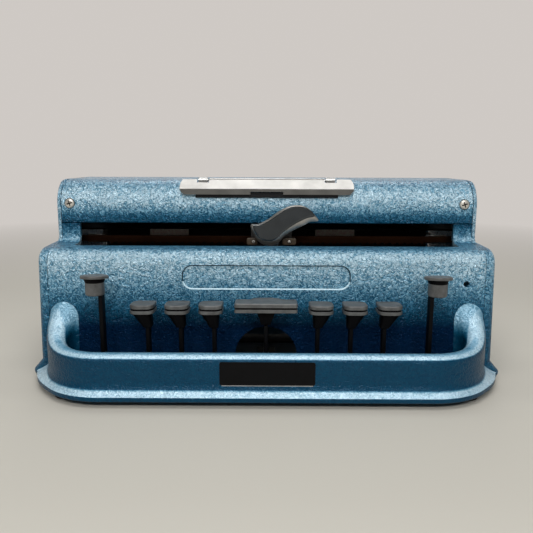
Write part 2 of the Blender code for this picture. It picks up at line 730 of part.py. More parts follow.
def make_front_cover(finishes):
    """Front cover with shoulder and necks, cut by the slot, arch, recess and hole."""
    neck_y = HOOD_FACE_Y + SEAT_GAP
    corners = front_corners(neck_y) + [(neck_y, HOOD_BOTTOM_Z - SEAT_GAP, 0)]
    outline = strip(rounded(corners, False), PANEL_WALL)
    cover = prism("front_cover", outline, "X", -COVER_HALF_WIDTH, COVER_HALF_WIDTH, finishes["enamel"])
    slot_front = HOOD_FACE_Y - SLOT_FRONT_SETBACK
    slot_low = SHOULDER_Z - SHOULDER_RADIUS
    slot = rectangle(-SLOT_HALF_WIDTH, slot_low, SLOT_HALF_WIDTH, HOOD_BOTTOM_Z + CUT_OVERRUN)
    slot_tool = prism("slot_tool", slot, "Y", slot_front, neck_y + PANEL_WALL + CUT_OVERRUN,
                      finishes["enamel"])
    arch = [(ARCH_HALF_WIDTH * math.cos(a), PANEL_FOOT_Z + ARCH_HEIGHT * math.sin(a))
            for a in (math.pi * i / ARCH_STEPS for i in range(ARCH_STEPS + 1))]
    arch += [(-ARCH_HALF_WIDTH, PANEL_FOOT_Z - CUT_OVERRUN), (ARCH_HALF_WIDTH, PANEL_FOOT_Z - CUT_OVERRUN)]
    arch_tool = prism("arch_tool", arch, "Y", PANEL_FOOT_Y - CUT_OVERRUN,
                      SHOULDER_Y + PANEL_WALL + CUT_OVERRUN, finishes["enamel"])
    recess_z = SHOULDER_Z - RECESS_DROP
    recess = rectangle(-RECESS_WIDTH / 2, recess_z - RECESS_HEIGHT / 2, RECESS_WIDTH / 2,
                       recess_z + RECESS_HEIGHT / 2, RECESS_CORNER_RADIUS, RECESS_STEPS)
    rings = []
    for depth in (-CUT_OVERRUN, RECESS_DEPTH):
        rings.append([(u, panel_front_y(v) + depth, v) for u, v in recess])
    recess_tool = loft("recess_tool", rings, finishes["enamel"])
    cut(cover, slot_tool, arch_tool, recess_tool)
    bore(cover, "Y", (LOCK_HOLE_X, SHOULDER_Z - LOCK_HOLE_DROP), LOCK_HOLE_RADIUS,
         PANEL_FOOT_Y, SHOULDER_Y + PANEL_WALL)
    return cover


def make_hood(finishes):
    """Top hood, a curved sheet open below."""
    corners = [(HOOD_FACE_Y, HOOD_BOTTOM_Z, 0)] + hood_corners() + [(HOOD_REAR_Y, HOOD_REAR_BOTTOM_Z, 0)]
    outline = strip(rounded(corners, False, ARC_STEPS + 2), HOOD_WALL)
    return prism("top_hood", outline, "X", -COVER_HALF_WIDTH, COVER_HALF_WIDTH, finishes["enamel"])


def make_rear_cover(finishes):
    """Rear cover with its shelf under the paper slot and the margin window."""
    corners = [
        (HOOD_REAR_Y - REAR_SLOT, REAR_SHELF_Z, 0),
        (REAR_COVER_Y, REAR_SHELF_Z, REAR_SHELF_RADIUS),
        (REAR_COVER_Y, FRAME_Z, 0),
    ]
    outline = strip(rounded(corners, False), REAR_WALL)
    cover = prism("rear_cover", outline, "X", -COVER_HALF_WIDTH, COVER_HALF_WIDTH, finishes["enamel"])
    window = rectangle(-WINDOW_HALF_WIDTH, MARGIN_Z - WINDOW_HEIGHT / 2, WINDOW_HALF_WIDTH,
                       MARGIN_Z + WINDOW_HEIGHT / 2, WINDOW_CORNER_RADIUS)
    cut(cover, prism("window_tool", window, "Y", REAR_COVER_Y - REAR_WALL - CUT_OVERRUN,
                     REAR_COVER_Y + CUT_OVERRUN, finishes["enamel"]))
    return cover


def value_at(path, z):
    """First coordinate of a path that climbs steadily, at a height."""
    for (u0, v0), (u1, v1) in zip(path, path[1:]):
        if z <= v1:
            return u0 + (u1 - u0) * max(z - v0, 0) / (v1 - v0)
    return path[-1][0]


def side_profile():
    """Outer face of a side panel as (x, z), from the ear's underside to the hood's top."""
    profile = [(LOWER_OUTER_X + EAR_REACH * u, BASE_Z + EAR_HEIGHT * v) for u, v in EAR_SHARES]
    step = LOWER_OUTER_X - UPPER_OUTER_X
    low = SHOULDER_BACK_Z - SHOULDER_CROWN
    for i in range(ARC_STEPS):
        angle = math.pi / 2 * i / ARC_STEPS
        profile.append((UPPER_OUTER_X + step * math.cos(angle), low + SHOULDER_CROWN * math.sin(angle)))
    profile.append((UPPER_OUTER_X, SHOULDER_BACK_Z + SEAT_GAP))
    low = HOOD_TOP_Z - SIDE_UPPER_ROUND
    for i in range(3):
        angle = math.pi / 4 * i
        profile.append((UPPER_OUTER_X - SIDE_UPPER_ROUND * (1 - math.cos(angle)),
                        low + SIDE_UPPER_ROUND * math.sin(angle)))
    return profile


def make_side_panel(name, side, finishes):
    """Side panel: thin by the hood, thicker by the keys, with a flared ear along its foot."""
    middle = (HOOD_FACE_Y + HOOD_REAR_Y) / 2
    front = rounded([(PANEL_FOOT_Y, BASE_Z, 0)] + front_corners(HOOD_FACE_Y)
                    + [(HOOD_FACE_Y, HOOD_TOP_Z, HOOD_FRONT_RADIUS), (middle, HOOD_TOP_Z, 0)], False)[:-1]
    rear = rounded([
        (REAR_COVER_Y, BASE_Z, 0),
        (REAR_COVER_Y, REAR_SHELF_Z - SEAT_GAP, REAR_SHELF_RADIUS),
        (HOOD_REAR_Y, REAR_SHELF_Z + SEAT_GAP, SIDE_LOWER_ROUND),
        (HOOD_REAR_Y, HOOD_TOP_Z, HOOD_REAR_RADIUS),
        (middle, HOOD_TOP_Z, 0),
    ], False)[:-1]
    outer = side_profile()
    levels = []
    for z in sorted(point[1] for point in front + rear + outer):
        if not levels or z - levels[-1] > LEVEL_STEP:
            levels.append(z)
    levels[-1] = HOOD_TOP_Z
    rings = []
    for z in levels:
        y0 = value_at(front, z)
        y1 = value_at(rear, z)
        x = value_at(outer, z)
        corner = SIDE_LOWER_ROUND if x >= LOWER_OUTER_X else SIDE_UPPER_ROUND
        corner = min(corner, x - SEAM_X - SEAT_GAP)
        half = corner * (1 - math.sin(math.pi / 4))
        ring = [(SEAM_X, y1), (SEAM_X, y0), (x - corner, y0), (x - half, y0 + half), (x, y0 + corner),
                (x, y1 - corner), (x - half, y1 - half), (x - corner, y1)]
        rings.append([(side * u, v, z) for u, v in ring])
    panel = loft(name, rings, finishes["enamel"])
    inner = min(side * SEAM_X, side * LOWER_OUTER_X)
    outer = max(side * SEAM_X, side * LOWER_OUTER_X)
    bore(panel, "X", (ROLLER_Y, ROLLER_Z), FEED_SHAFT_RADIUS + RUNNING_GAP, inner, outer)
    bore(panel, "X", (RELEASE_Y, RELEASE_Z), RELEASE_SHAFT_RADIUS + RUNNING_GAP, inner, outer)
    return panel


def make_bottom_plate(finishes):
    """Bottom plate with the studs of the hammer and the mainspring drum."""
    half = COVER_HALF_WIDTH - PLATE_SIDE_INSET
    front = PANEL_FOOT_Y + PANEL_WALL
    rear = REAR_COVER_Y - REAR_WALL - SEAT_GAP
    plate = block("bottom_plate", (-half, front, BASE_Z), (half, rear, PLATE_TOP_Z), finishes["steel"])
    root_z = BASE_Z + PLATE_THICKNESS / 2
    studs = (
        ("hammer_stud", (HAMMER_X, HAMMER_Y), HAMMER_STUD_RADIUS, HAMMER_Z, HAMMER_THICKNESS),
        ("spring_stud", (-SPRING_X, REAR_BAY_Y), SPRING_STUD_RADIUS, SPRING_DRUM_Z, SPRING_DRUM_HEIGHT),
    )
    for name, centre, radius, seat_z, height in studs:
        shoulder = seat_z - SEAT_GAP
        profile = ((root_z, radius + STUD_STEP), (shoulder, radius + STUD_STEP), (shoulder, radius),
                   (seat_z + height + STUD_PROUD, radius))
        fuse(plate, turned(name, profile, "Z", centre, finishes["steel"]))
    return plate


def make_feet(finishes):
    """Four rubber feet: two under the bar's corners, two under the plate."""
    mid_radius = BAR_CORNER_RADIUS - BAR_THICKNESS / 2
    diagonal = mid_radius * math.sin(math.pi / 4)
    front = (BAR_ARC_X + diagonal, BAR_ARC_Y - diagonal)
    rear = (SEAM_X - REAR_FOOT_INSET_X, REAR_COVER_Y - REAR_FOOT_INSET_Y)
    profile = ((0, FOOT_RADIUS - FOOT_TAPER), (FOOT_TAPER, FOOT_RADIUS),
               (FOOT_HEIGHT - SEAT_GAP, FOOT_RADIUS - FOOT_TAPER))
    for end, (x, y) in (("front", front), ("rear", rear)):
        for hand, side in (("left", -1), ("right", 1)):
            turned(f"foot_{end}_{hand}", profile, "Z", (side * x, y), finishes["rubber"])


# Keys

def key_places():
    """Name, lever X and cap X of each key."""
    places = []
    for i, (lever_x, cap_x) in enumerate(zip(DOT_LEVER_X, DOT_CAP_X)):
        places.append((f"dot_key_{3 - i}", -lever_x, -cap_x))
        places.append((f"dot_key_{4 + i}", lever_x, cap_x))
    places.append(("space_key", 0, 0))
    places.append(("line_key", -ROUND_KEY_X, -ROUND_KEY_X - ROUND_CAP_SHIFT))
    places.append(("backspace_key", ROUND_KEY_X, ROUND_KEY_X + ROUND_CAP_SHIFT))
    return places


def make_lever(name, x, stem_top, finishes):
    """Flat lever: stem at the front, hub on the shaft, tail with an upturned finger."""
    low_angle = math.asin(LEVER_BELOW / HUB_RADIUS)
    high_angle = math.asin(LEVER_ABOVE / HUB_RADIUS)
    stem_front = STEM_Y - STEM_WIDTH / 2
    stem_rear = STEM_Y + STEM_WIDTH / 2
    tail = TAIL_Y
    finger_top = LEVER_HIGH_Z + TAIL_FINGER_HEIGHT
    hub = (SHAFT_Y, SHAFT_Z)
    outline = rounded([(stem_rear, stem_top, 0), (stem_front, stem_top, 0),
                       (stem_front, LEVER_LOW_Z, STEM_WIDTH / 2), (SHAFT_Y, LEVER_LOW_Z, 0)],
                      False, SMALL_ARC_STEPS)[:-1]
    outline += arc(hub, HUB_RADIUS, math.pi + low_angle, 2 * math.pi - low_angle, ARC_STEPS)
    outline += [(tail, LEVER_LOW_Z), (tail, finger_top), (tail - TAIL_FINGER_WIDTH, finger_top),
                (tail - TAIL_FINGER_WIDTH, LEVER_HIGH_Z)]
    outline += arc(hub, HUB_RADIUS, high_angle, math.pi - high_angle, ARC_STEPS)
    outline += [(stem_rear, LEVER_HIGH_Z)]
    left = x - LEVER_THICKNESS / 2
    right = x + LEVER_THICKNESS / 2
    lever = prism(name + "_lever", outline, "X", left, right, finishes["blackened"])
    bore(lever, "X", hub, SHAFT_RADIUS + RUNNING_GAP, left, right)
    return lever


def cap_rings(x, neck_x, top_z, plan):
    """Rings of a key cap: tapered neck over the lever, lip, groove and top pad over the plan."""
    plate_z = top_z - CAP_PLATE
    groove_z = plate_z - CAP_GROOVE
    lip_z = groove_z - CAP_LIP
    neck_z = lip_z - NECK_HEIGHT
    groove = offset(plan, -CAP_GROOVE_DEPTH, True)
    edge = offset(plan, -CAP_EDGE, True)

    def neck(centre_x, width, depth, z):
        """Nearly square ring with one point on the ray to each point of the plan."""
        ring = []
        for u, v in plan:
            across = u - x
            along = v - STEM_Y
            size = (abs(2 * across / width) ** NECK_SQUARENESS
                    + abs(2 * along / depth) ** NECK_SQUARENESS) ** (1 / NECK_SQUARENESS)
            ring.append((centre_x + across / size, STEM_Y + along / size, z))
        return ring

    def flat(outline, z):
        """Outline lifted to a height."""
        return [(u, v, z) for u, v in outline]

    return [
        neck(neck_x, NECK_END_WIDTH, NECK_END_DEPTH, neck_z),
        neck(x, NECK_TOP_WIDTH, NECK_TOP_DEPTH, lip_z - CAP_GROOVE),
        neck(x, NECK_TOP_WIDTH, NECK_TOP_DEPTH, lip_z),
        flat(plan, lip_z),
        flat(plan, groove_z),
        flat(groove, groove_z),
        flat(groove, plate_z),
        flat(plan, plate_z),
        flat(plan, top_z - CAP_EDGE),
        flat(edge, top_z),
    ]


def neck_bottom(top_z):
    """Height of a cap's neck end above the ground."""
    return top_z - CAP_PLATE - CAP_GROOVE - CAP_LIP - NECK_HEIGHT


def make_dot_cap(name, lever_x, x, finishes):
    """Dot key cap: sharp at its rear inboard corner, round elsewhere and more so outboard."""
    top_z = BASE_Z + DOT_CAP_TOP_HEIGHT
    half = CAP_WIDTH / 2
    front = STEM_Y - CAP_DEPTH / 2
    rear = STEM_Y + CAP_DEPTH / 2
    left_rear = CAP_SHARP_CORNER if x > 0 else CAP_ROUND_CORNER
    right_rear = CAP_ROUND_CORNER if x > 0 else CAP_SHARP_CORNER
    plan = rounded([
        (x - half, front, CAP_ROUND_CORNER),
        (x + half, front, CAP_ROUND_CORNER),
        (x + half, rear, right_rear),
        (x - half, rear, left_rear),
    ], True, SMALL_ARC_STEPS)
    cap = loft(name + "_cap", cap_rings(x, lever_x, top_z, plan), finishes["keys"])
    return cap, neck_bottom(top_z) - SEAT_GAP


def make_space_cap(name, x, finishes):
    """Space bar: wide cap with a bulge at the middle of its rear edge."""
    top_z = BASE_Z + SPACE_CAP_TOP_HEIGHT
    half = SPACE_HALF_WIDTH
    bulge = half * SPACE_BULGE_SHARE
    front = STEM_Y - CAP_DEPTH / 2
    rear = STEM_Y + CAP_DEPTH / 2 - CAP_SHARP_CORNER
    corners = [
        (x - half, front, CAP_SHARP_CORNER),
        (x + half, front, CAP_SHARP_CORNER),
        (x + half, rear, CAP_SHARP_CORNER),
    ]
    for i in range(ARC_STEPS + 1):
        angle = math.pi * i / ARC_STEPS
        corners.append((x + bulge * math.cos(angle), rear + SPACE_BULGE_DEPTH * math.sin(angle), 0))
    corners.append((x - half, rear, CAP_SHARP_CORNER))
    plan = rounded(corners, True, SMALL_ARC_STEPS)
    cap = loft(name + "_cap", cap_rings(x, x, top_z, plan), finishes["keys"])
    return cap, neck_bottom(top_z) - SEAT_GAP


def make_round_cap(name, x, finishes):
    """Round key: disc raised a little at the front, on a collar."""
    top_z = BASE_Z + ROUND_CAP_TOP_HEIGHT
    disc_z = top_z - DISC_THICKNESS
    collar_z = disc_z - DISC_TILT / 2 - DISC_NECK
    end_z = collar_z - COLLAR_LENGTH
    profile = (
        (end_z, COLLAR_RADIUS - CAP_EDGE, 0),
        (end_z + CAP_EDGE, COLLAR_RADIUS, 0),
        (collar_z, COLLAR_RADIUS, 0),
        (disc_z, COLLAR_RADIUS + COLLAR_FLARE, 1),
        (disc_z, DISC_RADIUS, 1),
        (top_z - CAP_EDGE, DISC_RADIUS, 1),
        (top_z, DISC_RADIUS - CAP_EDGE, 1),
    )
    rings = []
    for z, radius, tilted in profile:
        slope = DISC_TILT / (2 * DISC_RADIUS) * tilted
        circle = arc((x, STEM_Y), radius, 0, 2 * math.pi, ROUND_STEPS)[:-1]
        rings.append([(u, v, z + (STEM_Y - v) * slope) for u, v in circle])
    cap = loft(name + "_cap", rings, finishes["keys"])
    return cap, end_z - SEAT_GAP


def make_keys(finishes):
    """Nine keys on one shaft, and the comb that guides their levers."""
    for name, x, cap_x in key_places():
        if name.startswith("dot"):
            cap, stem_top = make_dot_cap(name, x, cap_x, finishes)
        elif name.startswith("space"):
            cap, stem_top = make_space_cap(name, cap_x, finishes)
        else:
            cap, stem_top = make_round_cap(name, cap_x, finishes)
        lever = make_lever(name, x, stem_top, finishes)
        if name.startswith("line"):
            reach = block("line_reach", (RATCHET_X - PAWL_THICKNESS / 2, PAWL_Y, LEVER_LOW_Z),
                          (x, PAWL_Y + PAWL_WIDTH, LEVER_HIGH_Z), finishes["blackened"])
            fuse(lever, reach)
        hang(name + "_pivot", (x, SHAFT_Y, SHAFT_Z), (cap, lever))
    rod("key_shaft", "X", (SHAFT_Y, SHAFT_Z), SHAFT_RADIUS, -COVER_HALF_WIDTH, COVER_HALF_WIDTH,
        finishes["steel"])
    make_comb(finishes)


def make_comb(finishes):
    """Guide comb standing on the bottom plate, a pair of tines beside each lever."""
    half_slot = LEVER_THICKNESS / 2 + COMB_SLOT_GAP
    low = PLATE_TOP_Z + SEAT_GAP
    bar_top = low + COMB_BAR
    top = low + COMB_HEIGHT
    end = ROUND_KEY_X + half_slot + COMB_TINE
    outline = [(-end, low), (end, low)]
    for x in sorted((place[1] for place in key_places()), reverse=True):
        outline += [
            (x + half_slot + COMB_TINE, bar_top), (x + half_slot + COMB_TINE, top),
            (x + half_slot, top), (x + half_slot, bar_top),
            (x - half_slot, bar_top), (x - half_slot, top),
            (x - half_slot - COMB_TINE, top), (x - half_slot - COMB_TINE, bar_top),
        ]
    unique = [outline[0]]
    for point in outline[1:]:
        if (Vector(point) - Vector(unique[-1])).length > SEAT_GAP:
            unique.append(point)
    front = PANEL_FOOT_Y + COMB_SETBACK
    prism("key_comb", unique, "Y", front, front + COMB_THICKNESS, finishes["steel"])


# Carriage

def make_carriage(finishes):
    """Rails, rack, carriage body and head lever."""
    front_rail = (FRONT_RAIL_Y, RAIL_Z)
    rear_rail = (REAR_RAIL_Y, RAIL_Z)
    for name, centre in (("front_rail", front_rail), ("rear_rail", rear_rail)):
        rod(name, "X", centre, RAIL_RADIUS, -COVER_HALF_WIDTH, COVER_HALF_WIDTH, finishes["steel"])
    make_rack(finishes)
    front = CARRIAGE_Y
    rear = CARRIAGE_REAR_Y
    low = RAIL_Z - CARRIAGE_LOW
    groove_front = RACK_Y - RACK_CLEARANCE
    groove_rear = RACK_Y + RACK_THICKNESS + RACK_CLEARANCE
    groove_z = RACK_TOP_Z - RACK_BODY - RACK_TOOTH - RACK_CLEARANCE
    upper_z = JAW_Z + PAPER_GAP
    top = upper_z + UPPER_JAW
    post = CARRIAGE_POST_Y
    upper_rear = rear - UPPER_JAW_SETBACK
    outline = [
        (front, low), (rear, low), (rear, JAW_Z), (groove_rear, JAW_Z), (groove_rear, groove_z),
        (groove_front, groove_z), (groove_front, JAW_Z), (post, JAW_Z), (post, upper_z),
        (upper_rear, upper_z), (upper_rear, top), (front, top),
    ]
    left = CARRIAGE_REST_X - CARRIAGE_WIDTH / 2
    right = CARRIAGE_REST_X + CARRIAGE_WIDTH / 2
    body = prism("carriage_body", outline, "X", left, right, finishes["blackened"])
    for centre in (front_rail, rear_rail):
        bore(body, "X", centre, RAIL_RADIUS + RUNNING_GAP, left, right)
    hang("carriage_origin", (CARRIAGE_REST_X, front, RAIL_Z), (body,))
    make_head_lever(finishes)


def make_rack(finishes):
    """Escapement rack with one tooth gap for each cell."""
    root = RACK_TOP_Z - RACK_BODY
    tip = root - RACK_TOOTH
    span = CELL_PITCH * CELL_COUNT
    outline = [(COVER_HALF_WIDTH, root), (COVER_HALF_WIDTH, RACK_TOP_Z),
               (-COVER_HALF_WIDTH, RACK_TOP_Z), (-COVER_HALF_WIDTH, root)]
    for i in range(CELL_COUNT + 1):
        x = -span / 2 + CELL_PITCH * i
        outline += [(x - CELL_PITCH / 3, root), (x, tip)]
    outline.append((span / 2 + CELL_PITCH / 6, root))
    prism("escapement_rack", outline, "Y", RACK_Y, RACK_Y + RACK_THICKNESS, finishes["brass"])


def make_head_lever(finishes):
    """S-shaped paddle in front of the hood, with a foot against the carriage."""
    left = CARRIAGE_REST_X - PADDLE_LEFT
    low = RACK_TOP_Z - RACK_BODY + PADDLE_LOW
    shares = smooth_loop(PADDLE_SHARES, PADDLE_STEPS)
    outline = [(left + PADDLE_WIDTH * u, low + PADDLE_HEIGHT * v) for u, v in shares]
    rear = HOOD_FACE_Y - PADDLE_LEAD + PADDLE_EDGE
    front = rear - PADDLE_THICKNESS
    rings = []
    for inset, y in ((PADDLE_EDGE, front), (0, front + PADDLE_EDGE), (0, rear - PADDLE_EDGE),
                     (PADDLE_EDGE, rear)):
        ring = offset(outline, -inset, True)
        rings.append([(u, y, v) for u, v in ring])
    paddle = loft("head_lever", rings, finishes["paddle"])
    foot_x = CARRIAGE_REST_X - PADDLE_FOOT_WIDTH / 2
    foot_low = low - PADDLE_FOOT_DROP
    foot = block("head_lever_foot", (foot_x, front + PADDLE_EDGE, foot_low),
                 (foot_x + PADDLE_FOOT_WIDTH, CARRIAGE_Y - SEAT_GAP, foot_low + PADDLE_FOOT_HEIGHT),
                 finishes["paddle"])
    fuse(paddle, foot)
    hang("head_lever_pivot", (CARRIAGE_REST_X, CARRIAGE_Y - SEAT_GAP, foot_low), (paddle,))


# Paper feed

def make_feed(finishes):
    """Feed roller on its shaft, ratchet wheel, two knobs and the line pawl."""
    centre = (ROLLER_Y, ROLLER_Z)
    knob_inner = LOWER_OUTER_X + KNOB_GAP
    knob_outer = OVERALL_WIDTH / 2
    shaft_end = knob_inner - SEAT_GAP
    half = ROLLER_HALF_LENGTH
    profile = (
        (-shaft_end, FEED_SHAFT_RADIUS), (-half, FEED_SHAFT_RADIUS), (-half, ROLLER_RADIUS),
        (half, ROLLER_RADIUS), (half, FEED_SHAFT_RADIUS), (shaft_end, FEED_SHAFT_RADIUS),
    )
    roller = turned("feed_roller", profile, "X", centre, finishes["rubber"], DRUM_STEPS)
    moving = [roller]
    for hand, side in (("left", -1), ("right", 1)):
        moving.append(make_knob(f"feed_knob_{hand}", centre, side * knob_inner, side * knob_outer, finishes))
    moving.append(make_ratchet(centre, finishes))
    hang("feed_axis", (0, ROLLER_Y, ROLLER_Z), moving)
    make_pawl(finishes)


def make_knob(name, centre, inner_x, outer_x, finishes):
    """Fluted knob with rounded rims."""
    count = KNOB_FLUTES * 3
    edge = math.copysign(KNOB_EDGE, outer_x)

    def ring(x, inset):
        points = []
        for i in range(count):
            depth = KNOB_FLUTE_DEPTH if i % 3 == 0 else 0
            radius = KNOB_RADIUS - inset - depth
            angle = 2 * math.pi * i / count
            points.append((x, centre[0] + radius * math.cos(angle), centre[1] + radius * math.sin(angle)))
        return points

    rings = [ring(inner_x, 0), ring(outer_x - edge, 0), ring(outer_x, KNOB_EDGE)]
    return loft(name, rings, finishes["knob"])


def make_ratchet(centre, finishes):
    """Ratchet wheel with saw teeth, bored for the feed shaft."""
    outline = []
    step = 2 * math.pi / RATCHET_TEETH
    root = RATCHET_RADIUS - RATCHET_TOOTH
    for i in range(RATCHET_TEETH):
        for radius, angle in ((RATCHET_RADIUS, step * i), (root, step * (i + RATCHET_FACE_SHARE))):
            outline.append((centre[0] + radius * math.cos(angle), centre[1] + radius * math.sin(angle)))
    left = RATCHET_X - RATCHET_THICKNESS / 2
    right = RATCHET_X + RATCHET_THICKNESS / 2
    wheel = prism("ratchet_wheel", outline, "X", left, right, finishes["steel"])
    bore(wheel, "X", centre, FEED_SHAFT_RADIUS + SEAT_GAP, left, right)
    return wheel


def make_pawl(finishes):
    """Upright pawl standing on the line key's reach, its hook at the ratchet."""
    low = LEVER_HIGH_Z + SEAT_GAP
    top = ROLLER_Z - PAWL_TOP_DROP
    rear = PAWL_Y + PAWL_WIDTH
    hook_low = top - PAWL_HOOK_HEIGHT
    outline = [
        (PAWL_Y, low), (rear, low), (rear, hook_low), (rear + PAWL_HOOK, hook_low + PAWL_HOOK),
        (rear + PAWL_HOOK, top - PAWL_HOOK / 2), (rear, top), (PAWL_Y, top),
    ]
    pawl = prism("line_pawl", outline, "X", RATCHET_X - PAWL_THICKNESS / 2,
                 RATCHET_X + PAWL_THICKNESS / 2, finishes["steel"])
    hang("line_pawl_origin", (RATCHET_X, PAWL_Y, low), (pawl,))


def make_paper_guides(finishes):
    """Paper deck in front of the roller and the two release levers."""
    roller_z = ROLLER_Z + math.sqrt(ROLLER_RADIUS ** 2 - (ROLLER_Y - DECK_REAR_Y) ** 2)
    rear_z = roller_z + DECK_CLEARANCE + DECK_THICKNESS
    path = [(DECK_FRONT_Y, JAW_Z + DECK_LIFT), (DECK_REAR_Y, rear_z)]
    prism("paper_deck", strip(path, DECK_THICKNESS), "X", -COVER_HALF_WIDTH, COVER_HALF_WIDTH,
          finishes["steel"])
    for hand, side in (("left", -1), ("right", 1)):
        make_release(f"release_lever_{hand}", side, finishes)


def make_release(name, side, finishes):
    """Release lever outside the side panel, on a shaft with a pressure arm over the roller."""
    material = finishes["steel"]
    centre = (RELEASE_Y, RELEASE_Z)
    outer = side * (UPPER_OUTER_X + SEAT_GAP + RELEASE_LEVER_THICKNESS)
    inner = side * RELEASE_ARM_X
    lever = rod(name, "X", centre, RELEASE_SHAFT_RADIUS, min(inner, outer), max(inner, outer), material)
    plate_in = side * (UPPER_OUTER_X + SEAT_GAP)
    tip = (RELEASE_Y, RELEASE_Z + RELEASE_LEVER_LENGTH)
    outline = arc(centre, RELEASE_LEVER_ROOT, math.pi, 2 * math.pi, ARC_STEPS)
    outline += arc(tip, RELEASE_LEVER_TIP, 0, math.pi, ARC_STEPS)
    plate = prism(name + "_plate", outline, "X", min(plate_in, outer), max(plate_in, outer), material)
    reach = ROLLER_RADIUS + RELEASE_PAD_GAP + RELEASE_ARM_WIDTH / 2
    pad = Vector((ROLLER_Y + reach * math.cos(RELEASE_PAD_ANGLE),
                  ROLLER_Z + reach * math.sin(RELEASE_PAD_ANGLE)))
    along = (pad - Vector(centre)).normalized()
    across = Vector((along.y, -along.x)) * RELEASE_ARM_WIDTH / 2
    hub = Vector(centre)
    arm_outline = [tuple(hub - across), tuple(hub + across), tuple(pad + across), tuple(pad - across)]
    arm_outer = side * (RELEASE_ARM_X + RELEASE_ARM_THICKNESS)
    arm = prism(name + "_arm", arm_outline, "X", min(inner, arm_outer), max(inner, arm_outer), material)
    fuse(lever, plate, arm)
    hang(name + "_pivot", (side * UPPER_OUTER_X, RELEASE_Y, RELEASE_Z), (lever,))


# Reading rest

def make_reading_rest(finishes):
    """Hinged rest: sloped plate, front lip and knuckle, with its pin and brackets."""
    material = finishes["steel"]
    root = (REST_PIN_Y - REST_ROOT_RUN, REST_PIN_Z + REST_ROOT_RISE)
    bend = (root[0] - REST_PLATE_RUN, root[1] - REST_PLATE_DROP)
    lip = (bend[0] - REST_LIP_RUN, bend[1] - REST_LIP_DROP)
    path = rounded([(*lip, 0), (*bend, REST_BEND_RADIUS), (*root, 0)], False, SMALL_ARC_STEPS)
    rough_end = REST_HALF_LENGTH + CUT_OVERRUN
    rest = prism("reading_rest", strip(path, REST_THICKNESS), "X", -rough_end, rough_end, material)
    front = lip[0] - CUT_OVERRUN
    rear = REST_PIN_Y + REST_KNUCKLE_RADIUS + CUT_OVERRUN
    ends = rectangle(-REST_HALF_LENGTH, lip[1] + SEAT_GAP, REST_HALF_LENGTH, root[1] + REST_THICKNESS,
                     REST_END_RADIUS, ARC_STEPS)
    combine(rest, prism("rest_ends", ends, "Y", front, rear, material), "INTERSECT")
    pin = (REST_PIN_Y, REST_PIN_Z)
    knuckle_end = BRACKET_X - BRACKET_WIDTH / 2 - BRACKET_SLOT_GAP
    fuse(rest, rod("rest_knuckle", "X", pin, REST_KNUCKLE_RADIUS, -knuckle_end, knuckle_end, material, 12))
    for side in (-1, 1):
        half = BRACKET_WIDTH / 2 + BRACKET_SLOT_GAP
        cut(rest, block("rest_gap", (side * BRACKET_X - half, REST_PIN_Y - BRACKET_SLOT_DEPTH, lip[1]),
                        (side * BRACKET_X + half, rear, root[1] + CUT_OVERRUN), material))
    notch = REST_NOTCH_WIDTH / 2
    cut(rest, block("rest_notch", (-notch, front, lip[1] - CUT_OVERRUN),
                    (notch, bend[0] + REST_THICKNESS, lip[1] + REST_NOTCH_HEIGHT), material))
    bore(rest, "X", pin, REST_PIN_RADIUS + SEAT_GAP, -knuckle_end, knuckle_end, 12)
    hang("rest_pivot", (0, REST_PIN_Y, REST_PIN_Z), (rest,))
    pin_end = BRACKET_X + BRACKET_WIDTH / 2
    rod("rest_hinge_pin", "X", pin, REST_PIN_RADIUS, -pin_end, pin_end, material, 12)
    for hand, side in (("left", -1), ("right", 1)):
        make_bracket(f"rest_bracket_{hand}", side, pin, finishes)


def hood_top_z(y):
    """Height of the hood's outer face at Y, on its front curve or flat top."""
    arc_y = HOOD_FACE_Y + HOOD_FRONT_RADIUS
    arc_z = HOOD_TOP_Z - HOOD_FRONT_RADIUS
    ahead = max(arc_y - y, 0)
    return arc_z + math.sqrt(HOOD_FRONT_RADIUS ** 2 - ahead ** 2)


def make_bracket(name, side, pin, finishes):
    """Hinge bracket standing on the hood's curve, bored for the pin."""
    front = pin[0] - BRACKET_HALF_DEPTH
    rear = pin[0] + BRACKET_HALF_DEPTH
    outline = [(rear, hood_top_z(rear) + SEAT_GAP), (rear, pin[1])]
    outline += arc(pin, BRACKET_HALF_DEPTH, 0, math.pi, ARC_STEPS)[1:-1]
    outline = [(u, min(v, pin[1] + BRACKET_HEAD)) for u, v in outline]
    outline += [(front, pin[1]), (front, hood_top_z(front) + SEAT_GAP), (pin[0], hood_top_z(pin[0]) + SEAT_GAP)]
    left = side * BRACKET_X - BRACKET_WIDTH / 2
    right = side * BRACKET_X + BRACKET_WIDTH / 2
    bracket = prism(name, outline, "X", left, right, finishes["steel"])
    bore(bracket, "X", pin, REST_PIN_RADIUS + SEAT_GAP, left, right, 12)
    return bracket


# Margin stops

